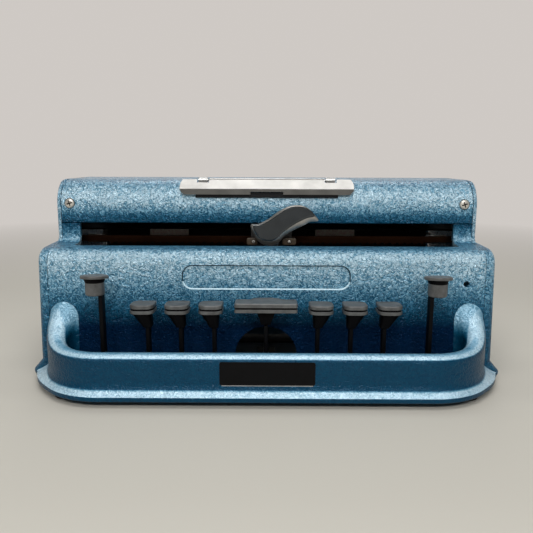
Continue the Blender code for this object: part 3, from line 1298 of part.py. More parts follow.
def make_margin_stops(finishes):
    """Margin bar and the two stops that slide on it, their tabs in the rear window."""
    low = MARGIN_Z - MARGIN_BAR_HEIGHT / 2
    high = MARGIN_Z + MARGIN_BAR_HEIGHT / 2
    bar_rear = MARGIN_BAR_Y + MARGIN_BAR_DEPTH
    block("margin_bar", (-COVER_HALF_WIDTH, MARGIN_BAR_Y, low), (COVER_HALF_WIDTH, bar_rear, high),
          finishes["steel"])
    front = MARGIN_BAR_Y - STOP_WALL
    inner_low = low - RUNNING_GAP
    inner_high = high + RUNNING_GAP
    back = REAR_COVER_Y - REAR_WALL - RUNNING_GAP
    tab_low = MARGIN_Z - STOP_TAB_HEIGHT / 2
    tab_high = MARGIN_Z + STOP_TAB_HEIGHT / 2
    outline = [
        (front, inner_low - STOP_WALL), (back, inner_low - STOP_WALL), (back, tab_low),
        (REAR_Y, tab_low), (REAR_Y, tab_high), (back, tab_high), (back, inner_high + STOP_WALL),
        (front, inner_high + STOP_WALL), (front, inner_high), (bar_rear + RUNNING_GAP, inner_high),
        (bar_rear + RUNNING_GAP, inner_low), (front, inner_low),
    ]
    for hand, side in (("left", -1), ("right", 1)):
        x = side * STOP_REST_X
        stop = prism(f"margin_stop_{hand}", outline, "X", x - STOP_WIDTH / 2, x + STOP_WIDTH / 2,
                     finishes["knob"])
        hang(f"margin_stop_{hand}_origin", (x, MARGIN_BAR_Y, MARGIN_Z), (stop,))


# Bell and mainspring

def make_bell(finishes):
    """Gong on its post, and the hammer beside it."""
    centre = (BELL_X, REAR_BAY_Y)
    low = PLATE_TOP_Z + SEAT_GAP
    rim_z = BASE_Z + BELL_RIM_HEIGHT
    inner = BELL_RADIUS - BELL_WALL
    top_angle = math.acos(BELL_POST_RADIUS / inner)
    profile = [(low, 0), (low, BELL_BASE_RADIUS), (low + BELL_BASE_HEIGHT, BELL_BASE_RADIUS),
               (low + BELL_BASE_HEIGHT, BELL_POST_RADIUS)]
    for i in range(ARC_STEPS + 1):
        angle = top_angle * (1 - i / ARC_STEPS)
        profile.append((rim_z + inner * math.sin(angle), inner * math.cos(angle)))
    for i in range(ARC_STEPS):
        angle = math.pi / 2 * i / ARC_STEPS
        profile.append((rim_z + BELL_RADIUS * math.sin(angle), BELL_RADIUS * math.cos(angle)))
    profile.append((rim_z + BELL_RADIUS, 0))
    turned("bell_gong", profile, "Z", centre, finishes["brass"])
    hub = (HAMMER_X, HAMMER_Y)
    high = HAMMER_Z + HAMMER_THICKNESS
    hammer = rod("bell_hammer", "Z", hub, HAMMER_HUB_RADIUS, HAMMER_Z, high, finishes["steel"])
    arm_half = HAMMER_ARM_WIDTH / 2
    inset = HAMMER_THICKNESS / 4
    arm = block("hammer_arm", (HAMMER_X - arm_half, HAMMER_Y, HAMMER_Z + inset),
                (HAMMER_X + arm_half, REAR_BAY_Y, high - inset), finishes["steel"])
    head = rod("hammer_head", "Z", (HAMMER_X + HAMMER_HEAD_SHIFT - arm_half, REAR_BAY_Y),
               HAMMER_HEAD_RADIUS, HAMMER_Z, high, finishes["steel"], 12)
    fuse(hammer, arm, head)
    bore(hammer, "Z", hub, HAMMER_STUD_RADIUS + SEAT_GAP, HAMMER_Z, high)
    hang("hammer_pivot", (HAMMER_X, HAMMER_Y, HAMMER_Z), (hammer,))


def make_mainspring(finishes):
    """Mainspring drum with its cord groove, turning on the plate's stud."""
    centre = (-SPRING_X, REAR_BAY_Y)
    bore_radius = SPRING_STUD_RADIUS + SEAT_GAP
    low = SPRING_DRUM_Z
    high = SPRING_DRUM_Z + SPRING_DRUM_HEIGHT
    radius = SPRING_DRUM_RADIUS
    profile = [
        (low, bore_radius), (low, radius), (low + SPRING_RIM, radius),
        (low + SPRING_RIM, radius - SPRING_GROOVE), (high - SPRING_RIM, radius - SPRING_GROOVE),
        (high - SPRING_RIM, radius), (high, radius), (high, bore_radius),
    ]
    drum = turned("mainspring_drum", profile, "Z", centre, finishes["steel"], DRUM_STEPS, True)
    hang("mainspring_pivot", (-SPRING_X, REAR_BAY_Y, low), (drum,))


def main():
    """Clear the scene and build the machine."""
    for thing in list(bpy.data.objects):
        bpy.data.objects.remove(thing)
    finishes = make_materials()
    make_base(finishes)
    make_front_cover(finishes)
    make_side_panel("side_panel_left", -1, finishes)
    make_side_panel("side_panel_right", 1, finishes)
    make_hood(finishes)
    make_rear_cover(finishes)
    make_bottom_plate(finishes)
    make_feet(finishes)
    make_keys(finishes)
    make_carriage(finishes)
    make_feed(finishes)
    make_paper_guides(finishes)
    make_reading_rest(finishes)
    make_margin_stops(finishes)
    make_bell(finishes)
    make_mainspring(finishes)


main()
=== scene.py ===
import json
import math

import bmesh
import bpy
from mathutils import Matrix, Vector


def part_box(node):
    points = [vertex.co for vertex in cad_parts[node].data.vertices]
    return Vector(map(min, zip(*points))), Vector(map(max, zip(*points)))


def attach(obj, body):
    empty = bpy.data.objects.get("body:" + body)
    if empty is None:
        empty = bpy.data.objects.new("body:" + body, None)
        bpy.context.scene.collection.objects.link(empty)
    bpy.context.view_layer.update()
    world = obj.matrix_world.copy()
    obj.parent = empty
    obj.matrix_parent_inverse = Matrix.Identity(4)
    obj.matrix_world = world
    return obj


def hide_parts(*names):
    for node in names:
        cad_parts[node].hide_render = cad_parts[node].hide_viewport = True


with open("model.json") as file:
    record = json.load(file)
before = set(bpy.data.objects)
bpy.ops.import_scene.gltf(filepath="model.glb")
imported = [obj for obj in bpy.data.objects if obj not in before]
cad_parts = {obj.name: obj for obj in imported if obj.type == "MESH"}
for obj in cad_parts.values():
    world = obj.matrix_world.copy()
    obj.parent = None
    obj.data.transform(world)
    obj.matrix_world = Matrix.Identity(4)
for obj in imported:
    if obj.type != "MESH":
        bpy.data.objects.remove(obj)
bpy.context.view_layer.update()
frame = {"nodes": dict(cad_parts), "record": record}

MM = 0.001
HANDS = (("left", -1), ("right", 1))

# Camera and picture
IMAGE_SIZE = 533
SENSOR_WIDTH = 36.0
FOCAL_PIXELS = 577
CLIP_START = 10.0 * MM
CAMERA_PLACE = (2.35 * MM, -497.4 * MM, 173.5 * MM)
CAMERA_PITCH = math.radians(-10.41)
CAMERA_YAW = math.radians(0.284)
CAMERA_ROLL = math.radians(0.19)

# Smoothness
SMOOTH_ANGLE = math.radians(42)
BEVEL_ANGLE = math.radians(38)
FLAT_ANGLE = math.radians(1)
BEVEL_SEGMENTS = 3
FEW_SEGMENTS = 2
WELD_REACH = 0.01 * MM
ROUND_STEPS = 48
DRUM_STEPS = 72
ARC_STEPS = 12
FINE_STEPS = 24
SMALL_ARC_STEPS = 6

# Body outline, the same lines as in the CAD part
SEAT_GAP = 0.3 * MM
RUNNING_GAP = 0.4 * MM
CUT_OVERRUN = 3.0 * MM
BASE_Z = 5.0 * MM
LOWER_SIDE_THICKNESS = 8.0 * MM
UPPER_SIDE_THICKNESS = 3.4 * MM
PANEL_LEAN = 5.0 * MM
SLOT_HEIGHT = 17.8 * MM
SHOULDER_RADIUS = 12.0 * MM
SHOULDER_SLOPE = 2.5 * MM
NECK_FILLET = 6.0 * MM
HOOD_RISE = 35.2 * MM
HOOD_FRONT_RADIUS = 22.0 * MM
HOOD_REAR_RADIUS = 26.0 * MM
REAR_SHELF_RADIUS = 10.0 * MM
REAR_SLOT = 6.0 * MM
PANEL_WALL = 4.0 * MM
HOOD_WALL = 3.5 * MM
REAR_WALL = 3.0 * MM
SHELL_EDGE = 1.1 * MM
THIN_EDGE = 0.6 * MM
# Width of a thin plate's rounded edges as a share of its thickness
SHEET_EDGE_SHARE = 1 / 3

COVER_HALF_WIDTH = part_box("front_cover")[1].x
SEAM_X = COVER_HALF_WIDTH + SEAT_GAP
LOWER_OUTER_X = SEAM_X + LOWER_SIDE_THICKNESS
UPPER_OUTER_X = SEAM_X + UPPER_SIDE_THICKNESS
PANEL_FOOT_Y, PANEL_FOOT_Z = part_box("front_cover")[0].yz
SHOULDER_Y = PANEL_FOOT_Y + PANEL_LEAN
HOOD_FACE_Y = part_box("top_hood")[0].y
HOOD_REAR_Y, HOOD_TOP_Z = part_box("top_hood")[1].yz
HOOD_BOTTOM_Z = HOOD_TOP_Z - HOOD_RISE
SHOULDER_Z = HOOD_BOTTOM_Z - SLOT_HEIGHT
SHOULDER_BACK_Z = SHOULDER_Z + SHOULDER_SLOPE
REAR_COVER_Y, REAR_SHELF_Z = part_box("rear_cover")[1].yz
HOOD_REAR_BOTTOM_Z = REAR_SHELF_Z + REAR_SLOT
INSIDE_DEPTH = REAR_COVER_Y - HOOD_FACE_Y
FRAME_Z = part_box("rear_cover")[0].z

# Openings and recess of the front cover
SLOT_END_INSET = 15.0 * MM
SLOT_FRONT_SETBACK = 17.0 * MM
RECESS_WIDTH = 129.6 * MM
RECESS_HEIGHT = 17.4 * MM
RECESS_CORNER_RADIUS = 7.4 * MM
RECESS_DROP = 20.4 * MM
RECESS_DEPTH = 1.2 * MM
RECESS_EDGE = 0.9 * MM
# Shares of a face's normal by which the recess's rim is told from its flat faces: painted shade on the rim's
# faces turned down, a painted highlight on its faces turned up
EDGE_TURN = 0.97
EDGE_RISE = 0.25
ARCH_HALF_WIDTH = 24.0 * MM
ARCH_HEIGHT = 21.5 * MM
LOCK_HOLE_INSET = 14.4 * MM
LOCK_HOLE_DROP = 24.9 * MM
LOCK_HOLE_RADIUS = 2.4 * MM

# Carrying bar: its horns rise and its foot flange widens towards the body
BAR_HEIGHT = 33.0 * MM
BAR_THICKNESS = 12.0 * MM
BAR_CORNER_RADIUS = 50.0 * MM
BAR_TOP_ROUND = 5.0 * MM
HORN_HEIGHT = 59.5 * MM
HORN_THICKNESS = 22.7 * MM
HORN_TOP_ROUND = 13.0 * MM
HORN_OUTSET = 0.6 * MM
FLANGE_REACH = 5.0 * MM
FLANGE_HEIGHT = 12.0 * MM
FLANGE_END_REACH = 12.3 * MM
FLANGE_END_HEIGHT = 15.0 * MM
CORNER_STEPS = 36
BAR_TOP_STEPS = 16
HORN_POWER = 4.4
FLANGE_POWER = 1.3
RING_POWER = 1.2
FLANGE_START_SHARE = 0.55
# Shares of the flange's reach and height, from the lip's underside up to the bar's face
FLANGE_SHARES = ((0.9, 0.0), (1.0, 0.06), (1.0, 0.26), (0.66, 0.41), (0.29, 0.6), (0.08, 0.8), (0.0, 1.0))
PROFILE_STEPS = 4

BAR_FACE_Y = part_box("base_casting")[0].y + FLANGE_REACH
BAR_ARC_Y = BAR_FACE_Y + BAR_CORNER_RADIUS
BAR_ARC_X = SEAM_X - HORN_OUTSET - BAR_CORNER_RADIUS

# Rails of the base casting
RAIL_WIDTH = 14.0 * MM
RAIL_HEIGHT = 6.2 * MM
RAIL_LEAD = 8.0 * MM

# Side panels
SIDE_LOWER_ROUND = 5.0 * MM
SIDE_UPPER_ROUND = 2.8 * MM
EAR_REACH = 7.2 * MM
EAR_HEIGHT = 12.5 * MM
SHOULDER_CROWN = 9.0 * MM
LEVEL_STEP = 0.12 * MM
# Shares of the ear's reach and height, from its underside round its tip to its root
EAR_SHARES = ((0.55, 0.0), (0.88, 0.06), (1.0, 0.22), (0.94, 0.38), (0.55, 0.64), (0.2, 0.88), (0.0, 1.0))

# Margin window and the ridges on the stops' tabs
WINDOW_END_INSET = 30.0 * MM
WINDOW_HEIGHT = 8.0 * MM
WINDOW_CORNER_RADIUS = 0.9 * MM
MARGIN_DROP = 26.3 * MM
MARGIN_Z = HOOD_BOTTOM_Z - MARGIN_DROP
RIDGE_PITCH = 2.4 * MM
RIDGE_COUNT = 4
RIDGE_GROOVE = 0.9 * MM
RIDGE_DEPTH = 0.6 * MM

# Key caps
DOT_KEY_COUNT = 6
CAP_DEPTH = 17.0 * MM
CAP_ROUND_CORNER = 6.0 * MM
CAP_SHARP_CORNER = 1.5 * MM
CAP_LEAST_CORNER = 0.4 * MM
CAP_PLATE = 3.0 * MM
CAP_EDGE = 0.7 * MM
CAP_GROOVE = 1.3 * MM
CAP_GROOVE_DEPTH = 0.8 * MM
CAP_LIP = 2.6 * MM
CAP_DISH = 0.4 * MM
CAP_DISH_INSET = 2.4 * MM
CAP_BEVEL = 0.3 * MM
NECK_HEIGHT = 11.0 * MM
NECK_TOP_WIDTH = 13.5 * MM
NECK_TOP_DEPTH = 12.0 * MM
NECK_END_WIDTH = 6.5 * MM
NECK_END_DEPTH = 9.5 * MM
NECK_SQUARENESS = 5
SPACE_BULGE_DEPTH = 6.0 * MM
SPACE_BULGE_SHARE = 0.52
DISC_RADIUS = 10.4 * MM
DISC_THICKNESS = 2.4 * MM
DISC_TILT = 2.2 * MM
DISC_NECK = 1.6 * MM
COLLAR_RADIUS = 7.1 * MM
COLLAR_LENGTH = 9.8 * MM
COLLAR_FLARE = 0.9 * MM
WAIST_FLARE_SHARE = 0.25
WAIST_TILT_SHARE = 0.5
# Upward share of a face's normal below which a round key's waist is painted black as the shade under its
# disc
UPRIGHT_TURN = math.cos(math.pi / 4)
LEVER_EDGE = 0.4 * MM

# Head lever, its dark face and its bright rim, the rim's lightness partly a painted reflection of the floor
PADDLE_WIDTH = 54.4 * MM
PADDLE_HEIGHT = 33.5 * MM
PADDLE_THICKNESS = 6.0 * MM
PADDLE_EDGE = 1.6 * MM
PADDLE_LEFT_X = -12.5 * MM
PADDLE_STEPS = 6
PADDLE_FOOT_WIDTH = 12.0 * MM
PADDLE_FOOT_HEIGHT = 9.0 * MM
PADDLE_FOOT_DROP = 5.0 * MM
PADDLE_RIM_FALL = 1.9 * MM
PADDLE_DISH = 0.8 * MM
# Shares of the way from the dark face to the outline, and how fast the rim falls along it
PADDLE_RIM_SHARES = (0.35, 0.7, 0.9, 1.0)
PADDLE_RIM_POWER = 1.6
PADDLE_FLAT = 0.995
CARRIAGE_REST_X = 4.0 * MM
# Shares of the paddle's width and height, round its outline from the upper left corner
PADDLE_SHARES = (
    (0.0, 0.531), (0.0, 0.413), (0.043, 0.259), (0.101, 0.124), (0.197, 0.031), (0.312, 0.0),
    (0.408, 0.08), (0.503, 0.252), (0.655, 0.41), (0.781, 0.509), (0.882, 0.597), (1.0, 0.624),
    (0.951, 0.76), (0.875, 0.893), (0.785, 0.976), (0.688, 1.0), (0.576, 0.975), (0.487, 0.914),
    (0.384, 0.817), (0.25, 0.659), (0.1, 0.536),
)
# Shares of the same width and height, round the dark face from the same corner
PADDLE_FACE_SHARES = (
    (0.05, 0.495), (0.05, 0.41), (0.078, 0.324), (0.125, 0.245), (0.202, 0.205), (0.301, 0.2),
    (0.375, 0.27), (0.463, 0.39), (0.586, 0.551), (0.704, 0.67), (0.814, 0.742), (0.905, 0.785),
    (0.912, 0.84), (0.858, 0.9), (0.778, 0.948), (0.69, 0.965), (0.6, 0.945), (0.52, 0.885),
    (0.42, 0.78), (0.28, 0.62), (0.13, 0.51),
)

# Lugs of the carriage beside the paddle's foot, and the tabs at the paper deck's front edge, made pale as
# painted light inside the slot
LUG_SPANS = ((-16.5 * MM, -7.5 * MM), (13.0 * MM, 24.5 * MM))
LUG_SCREW_X = (-10.9 * MM, 18.8 * MM)
LUG_LEAD = 4.4 * MM
LUG_LOW_Z = 104.6 * MM
LUG_HIGH_Z = 110.2 * MM
LUG_ROUND = 1.4 * MM
CLIP_SPANS = ((-105.5 * MM, -70.5 * MM), (43.7 * MM, 79.0 * MM))
CLIP_LOW_Z = 105.0 * MM
CLIP_LEAD = 0.9 * MM
CLIP_THICKNESS = 0.8 * MM

# Feed roller, its knobs and the release levers
FEED_SHAFT_RADIUS = 4.0 * MM
ROLLER_DEPTH_SHARE = 0.538
ROLLER_DROP = 22.3 * MM
ROLLER_EDGE = 1.0 * MM
ROLLER_END_INSET = 24.0 * MM
KNOB_RADIUS = 17.0 * MM
KNOB_FLUTES = 12
KNOB_FLUTE_DEPTH = 1.3 * MM
KNOB_FLUTE_POWER = 3
KNOB_INNER_FLUTE_SHARE = 0.6
KNOB_EDGE = 2.0 * MM
KNOB_INNER_EDGE = 0.7 * MM
KNOB_STEPS = 144
# Insets from the knob's radius and depths below its end, from its rim to its middle
KNOB_END_DISH = (
    (4.2 * MM, 0.0), (5.2 * MM, 0.9 * MM), (9.4 * MM, 0.9 * MM), (10.0 * MM, 0.4 * MM),
    (12.4 * MM, 0.4 * MM), (13.0 * MM, 0.9 * MM),
)
KNOB_SCREW_DEPTH = 0.9 * MM
RELEASE_AHEAD_SHARE = 0.076
RELEASE_ABOVE = 30.0 * MM
RELEASE_SHAFT_RADIUS = 3.0 * MM
RELEASE_ARM_THICKNESS = 5.0 * MM
RELEASE_ARM_WIDTH = 5.0 * MM
RELEASE_PAD_ANGLE = math.radians(50)
RELEASE_PAD_GAP = 0.8 * MM
RELEASE_LEVER_LENGTH = 20.0 * MM
RELEASE_LEVER_THICKNESS = 3.0 * MM
RELEASE_LEVER_ROOT = 5.0 * MM
RELEASE_LEVER_TIP = 3.6 * MM
RELEASE_EDGE = 0.7 * MM

ROLLER_Y = HOOD_FACE_Y + INSIDE_DEPTH * ROLLER_DEPTH_SHARE
ROLLER_Z = HOOD_BOTTOM_Z - ROLLER_DROP
ROLLER_CENTRE = (ROLLER_Y, ROLLER_Z)
RELEASE_Y = ROLLER_Y + INSIDE_DEPTH * RELEASE_AHEAD_SHARE
RELEASE_Z = ROLLER_Z + RELEASE_ABOVE
RELEASE_CENTRE = (RELEASE_Y, RELEASE_Z)

# Reading rest on the hood
REST_HALF_LENGTH = 71.8 * MM
REST_THICKNESS = 1.6 * MM
REST_END_RADIUS = 6.0 * MM
REST_PIN_SETBACK = 11.5 * MM
REST_PIN_DROP = 0.5 * MM
REST_PIN_RADIUS = 0.8 * MM
REST_KNUCKLE_RADIUS = 1.7 * MM
REST_PLATE_RUN = 9.8 * MM
REST_PLATE_DROP = 7.8 * MM
REST_LIP_RUN = 1.8 * MM
REST_LIP_DROP = 4.6 * MM
REST_BEND_RADIUS = 2.6 * MM
REST_ROOT_RUN = 1.2 * MM
REST_ROOT_RISE = 1.0 * MM
REST_NOTCH_WIDTH = 27.0 * MM
REST_NOTCH_HEIGHT = 2.6 * MM
REST_EDGE = 0.35 * MM
# Black strip under the rest's lip, where the gap between lip and hood lies in shadow: painted shadow
REST_SHADOW_HALF_LENGTH = 58.6 * MM
REST_SHADOW_HEIGHT = 4.5 * MM
REST_SHADOW_THICKNESS = 1.0 * MM
REST_SHADOW_REACH = 1.5 * MM
# Upward share of a face's normal below which the rest's sheet is its lip, painted dark as shade
LIP_SLOPE = 0.7
BRACKET_X = 53.1 * MM
BRACKET_WIDTH = 8.0 * MM
BRACKET_SLOT_GAP = 1.0 * MM
BRACKET_SLOT_DEPTH = 4.4 * MM

# Rubber feet
FOOT_TAPER = 1.0 * MM
FOOT_DIMPLE = 1.2 * MM
# Shares of the tread's radius at the dimple's top and at its mouth
DIMPLE_SHARES = (1 / 3, 0.5)

# Screws: radius and height of each kind's head, and the slots in a hood screw
SCREW_SIZES = {
    "hood": (3.9 * MM, 1.5 * MM), "rear": (3.2 * MM, 1.5 * MM), "side": (3.2 * MM, 1.5 * MM),
    "knob": (2.6 * MM, 0.8 * MM), "release": (2.6 * MM, 0.8 * MM), "lug": (1.3 * MM, 0.8 * MM),
}
SCREW_SLOT_WIDTH = 1.0 * MM
SCREW_SLOT_DEPTH = 0.9 * MM
SCREW_ARM_SHARE = 0.62
SCREW_DOME_POWER = 0.6
# How far the screws' crosses are turned, in radians
CROSS_TURN = 0.3
REAR_CROSS_TURN = 0.2
SIDE_CROSS_TURN = 0.6
# Turns about the vertical that aim a screw made facing the front
FACINGS = {"front": 0.0, "right": math.pi / 2, "rear": math.pi, "left": -math.pi / 2}
HOOD_SCREW_X = 162.5 * MM
HOOD_SCREW_Z = 138.3 * MM
REAR_SCREW_X = 158.0 * MM
REAR_SCREW_HEIGHTS = (22.0 * MM, 104.0 * MM)
SIDE_SCREW_PLACES = ((-46.0 * MM, 88.0 * MM), (-40.0 * MM, 30.0 * MM), (94.0 * MM, 30.0 * MM))

# Bare label place
LABEL_X = 1.3 * MM
LABEL_HALF_WIDTH = 34.0 * MM
LABEL_LOW_Z = 16.3 * MM
LABEL_HIGH_Z = 33.6 * MM
LABEL_THICKNESS = 0.35 * MM
LABEL_CORNER = 1.5 * MM
# Height of the light line under the label, a painted highlight
LABEL_LINE = 0.7 * MM

# Heights between which the enamel of the covers and of the horns turns from deep to pale: painted shade low
# down, painted light higher up
PANEL_DEEP_Z = 45.0 * MM
PANEL_PALE_Z = 104.0 * MM
HORN_DEEP_Z = 36.0 * MM
HORN_PALE_Z = 50.0 * MM
# Enamel's plain colour, and its colour at shares of painted light, from painted shade at 0 to a painted
# highlight at 1
ENAMEL_BASE = (0.02, 0.13, 0.21)
ENAMEL_COLORS = (
    (0.0, (0.0, 0.012, 0.05)), (0.18, (0.0, 0.055, 0.115)), (0.35, (0.01, 0.125, 0.235)),
    (0.5, (0.08, 0.27, 0.41)), (0.7, (0.23, 0.46, 0.62)), (1.0, (0.54, 0.77, 0.9)),
)
# Painted light at each turn of a face, from upright at 0 to level at 1; faces turned up take a painted
# highlight
UPRIGHT_SHARES = ((0.0, 1.0), (0.6, 1.0), (1.0, 0.5))
CASTING_SHARES = ((0.42, 0.16), (0.62, 0.92), (0.85, 0.92), (1.0, 0.55))
# Painted light at shares of the way between two heights
PANEL_SHARES = ((0.0, 0.02), (0.74, 1.0), (0.8, 0.8), (0.88, 0.5), (1.0, 0.2))
SIDE_SHARES = ((0.0, 0.26), (1.0, 0.72))
REAR_SHARES = ((0.0, 0.45), (1.0, 0.72))
HOOD_SHARES = ((0.0, 0.2), (0.17, 0.32), (0.42, 0.76), (0.6, 0.95), (0.76, 0.82), (1.0, 0.78))
HORN_SHARES = ((0.0, 0.0), (1.0, 0.66))

# Textures of the finishes: scales in features to the metre, spans and swings as lowest and highest
WRINKLE_SCALE = 460
WRINKLE_DETAIL = 1.5
WRINKLE_ROUGHNESS = 0.5
WRINKLE_DISTORTION = 1.4
WRINKLE_SPAN = (0.35, 0.65)
WRINKLE_RELIEF = 3.2 * MM
# How far the painted light swings between the wrinkles' crests and valleys, for a relief of 1: painted light
# on the crests, painted shade in the valleys
CREST_SHARE = 0.44
PATCH_SCALE = 45
PATCH_SPAN = (0.9, 1.1)
ENAMEL_METALLIC = 0.2
ENAMEL_ROUGHNESS = (0.24, 0.36)
ENAMEL_GLOSS = (0.05, 0.8)
ENAMEL_COAT = (0.0, 0.9)
COAT_ROUGHNESS = 0.15
MOTTLING_SCALE = 170
MOTTLING_SPAN = (0.3, 0.72)
MOTTLING_SWING = (0.8, 1.2)
PLASTIC_GRAIN_SCALE = 2200
PLASTIC_GRAIN_DETAIL = 2.0
PLASTIC_GRAIN = 0.15
BRUSH_SCALE = 40
BRUSH_SWING = (0.75, 1.3)
STAIN_SCALE = 50
STAIN_SPAN = (0.32, 0.62)
DULL_SPAN = (0.3, 0.75)
DULL_SWING = (0.85, 1.15)
DULL_LIGHTER = 1.6
FINE_DETAIL = 4.0
FINE_ROUGHNESS = 0.6
FINE_RELIEF = 0.25 * MM
GRAIN_RELIEF = 0.12 * MM

# Studio
FLOOR_SIZE = 8.0
FLOOR_COLOR = (0.60, 0.57, 0.50)
FLOOR_ROUGHNESS = 0.7
FLOOR_NEAR = 0.45
FLOOR_FAR = 1.3
BACKDROP_COLOR = (0.62, 0.585, 0.555, 1.0)
AMBIENT_COLOR = (0.92, 0.95, 1.0, 1.0)
AMBIENT_STRENGTH = 0.12
# How far to the front a reflection still sees the backdrop, and how dim the room is beyond it
BACKDROP_EDGE = 0.1
BACKDROP_FULL = 0.5
ROOM_SHARE = 0.1
LAMP_TARGET = (0.0, 0.0, 0.07)
# Name, place, width, height and power of each lamp
LAMPS = (
    ("key_light", (0.0, -0.4, 1.14), 0.9, 0.22, 5.0),
    ("top_light", (0.0, 0.3, 1.1), 0.9, 0.2, 1.8),
    ("rear_light", (0.0, 1.1, 0.8), 1.1, 0.3, 3.5),
    ("front_light", (0.0, -1.05, 0.78), 1.1, 0.16, 8.6),
)
# Finishes of inner nodes, where they differ from the node's material slot: near black, as painted shade
# inside the arch and the slot
INNER_FINISHES = {
    "key_shaft": "dark_steel", "key_comb": "dark_steel", "bottom_plate": "dark_steel",
    "front_rail": "dark_steel", "rear_rail": "dark_steel", "paper_deck": "dark_steel",
    "escapement_rack": "rack",
}


# Materials

def wire(tree, node, *values, **named):
    """Link or set a node's inputs, in order or by their names with _ for each space."""
    pairs = [(node.inputs[i], value) for i, value in enumerate(values)]
    pairs += [(node.inputs[name.replace("_", " ")], value) for name, value in named.items()]
    for socket, value in pairs:
        if isinstance(value, bpy.types.NodeSocket):
            tree.links.new(value, socket)
        else:
            socket.default_value = value
    return node


def add(tree, kind, *values, **named):
    """New node of a kind, its inputs linked or set."""
    return wire(tree, tree.nodes.new("ShaderNode" + kind), *values, **named)


def new_material(name, base, roughness, metallic=0.0):
    """Principled material with its tree and shader."""
    material = bpy.data.materials.new(name)
    material.use_nodes = True
    tree = material.node_tree
    shader = wire(tree, tree.nodes["Principled BSDF"], Base_Color=(*base, 1.0), Roughness=roughness,
                  Metallic=metallic)
    return material, tree, shader


def surface_place(tree):
    """Output socket with the place on the piece."""
    return add(tree, "TexCoord").outputs["Object"]


def noise(tree, scale, detail=3.0, roughness=0.55, stretch=None, distortion=0.0):
    """Factor output of a noise over the piece, stretched along its axes where asked."""
    spot = surface_place(tree)
    if stretch:
        spot = add(tree, "Mapping", Vector=spot, Scale=stretch).outputs["Vector"]
    return add(tree, "TexNoise", Vector=spot, Scale=scale, Detail=detail, Roughness=roughness,
               Distortion=distortion).outputs["Fac"]


def ramp(tree, factor, stops):
    """Color output of a ramp with (position, rgb) stops."""
    node = add(tree, "ValToRGB", factor)
    elements = node.color_ramp.elements
    while len(elements) < len(stops):
        elements.new(0.5)
    for element, (position, color) in zip(elements, stops):
        element.position = position
        element.color = (*color, 1.0)
    return node.outputs["Color"]


def levels(tree, factor, stops):
    """Grey output of a ramp with (position, share) stops."""
    return ramp(tree, factor, [(position, (share, share, share)) for position, share in stops])


def combined(tree, operation, first, second):
    """Value output of two sockets under an operation, kept between 0 and 1."""
    node = add(tree, "Math", first, second)
    node.operation = operation
    node.use_clamp = True
    return node.outputs["Value"]


def spread(tree, factor, low, high, start=0.0, end=1.0):
    """Value output mapping a factor from start to end onto low to high."""
    return add(tree, "MapRange", factor, start, end, low, high).outputs["Result"]


def bump(tree, shader, height, strength, distance):
    """Bump from a height socket into the shader's normals."""
    normal = add(tree, "Bump", Height=height, Strength=strength, Distance=distance).outputs["Normal"]
    wire(tree, shader, Normal=normal, Coat_Normal=normal)


def shade(tree, shader, patches, span, colors, grain, roughness, swing):
    """Colour a shader by patches and swing its roughness with a grain."""
    wire(tree, shader, Base_Color=ramp(tree, patches, list(zip(span, colors))),
         Roughness=spread(tree, grain, roughness * swing[0], roughness * swing[1]))


def make_enamel(name, low_z, high_z, height_shares, relief=0.9, operation="MULTIPLY",
                slope_shares=UPRIGHT_SHARES):
    """Blue wrinkled enamel, its painted light and shade joined of how far a face turns up and how high it
    is.
    """
    material, tree, shader = new_material(name, ENAMEL_BASE, ENAMEL_ROUGHNESS[0], ENAMEL_METALLIC)
    wrinkles = noise(tree, WRINKLE_SCALE, WRINKLE_DETAIL, WRINKLE_ROUGHNESS, distortion=WRINKLE_DISTORTION)
    turn = add(tree, "SeparateXYZ", add(tree, "NewGeometry").outputs["Normal"]).outputs["Z"]
    level = add(tree, "SeparateXYZ", surface_place(tree)).outputs["Z"]
    height = spread(tree, level, 0.0, 1.0, low_z, high_z)
    # Painted light and shade: paler on faces turned up and higher up, deep navy lower down
    painted_light = combined(tree, operation, levels(tree, turn, slope_shares), levels(tree, height, height_shares))
    patches = spread(tree, noise(tree, PATCH_SCALE, FINE_DETAIL, FINE_ROUGHNESS), *PATCH_SPAN)
    patchy_painted_light = combined(tree, "MULTIPLY", painted_light, patches)
    swing = CREST_SHARE * relief
    # Painted light on the wrinkles' crests, painted shade in their valleys
    relief_painted_light = combined(tree, "MULTIPLY", patchy_painted_light, spread(tree, wrinkles, 1 - swing, 1 + swing, *WRINKLE_SPAN))
    wire(tree, shader, Base_Color=ramp(tree, relief_painted_light, ENAMEL_COLORS),
         Roughness=spread(tree, wrinkles, *ENAMEL_ROUGHNESS),
         Specular_IOR_Level=spread(tree, patchy_painted_light, *ENAMEL_GLOSS),
         Coat_Weight=spread(tree, patchy_painted_light, *ENAMEL_COAT), Coat_Roughness=COAT_ROUGHNESS)
    bump(tree, shader, wrinkles, relief, WRINKLE_RELIEF)
    return material


def make_plastic(name, dark, light, roughness):
    """Satin moulding with faint mottling."""
    material, tree, shader = new_material(name, dark, roughness)
    mottling = noise(tree, MOTTLING_SCALE, FINE_DETAIL)
    shade(tree, shader, mottling, MOTTLING_SPAN, (dark, light), mottling, roughness, MOTTLING_SWING)
    bump(tree, shader, noise(tree, PLASTIC_GRAIN_SCALE, PLASTIC_GRAIN_DETAIL), PLASTIC_GRAIN, GRAIN_RELIEF)
    return material


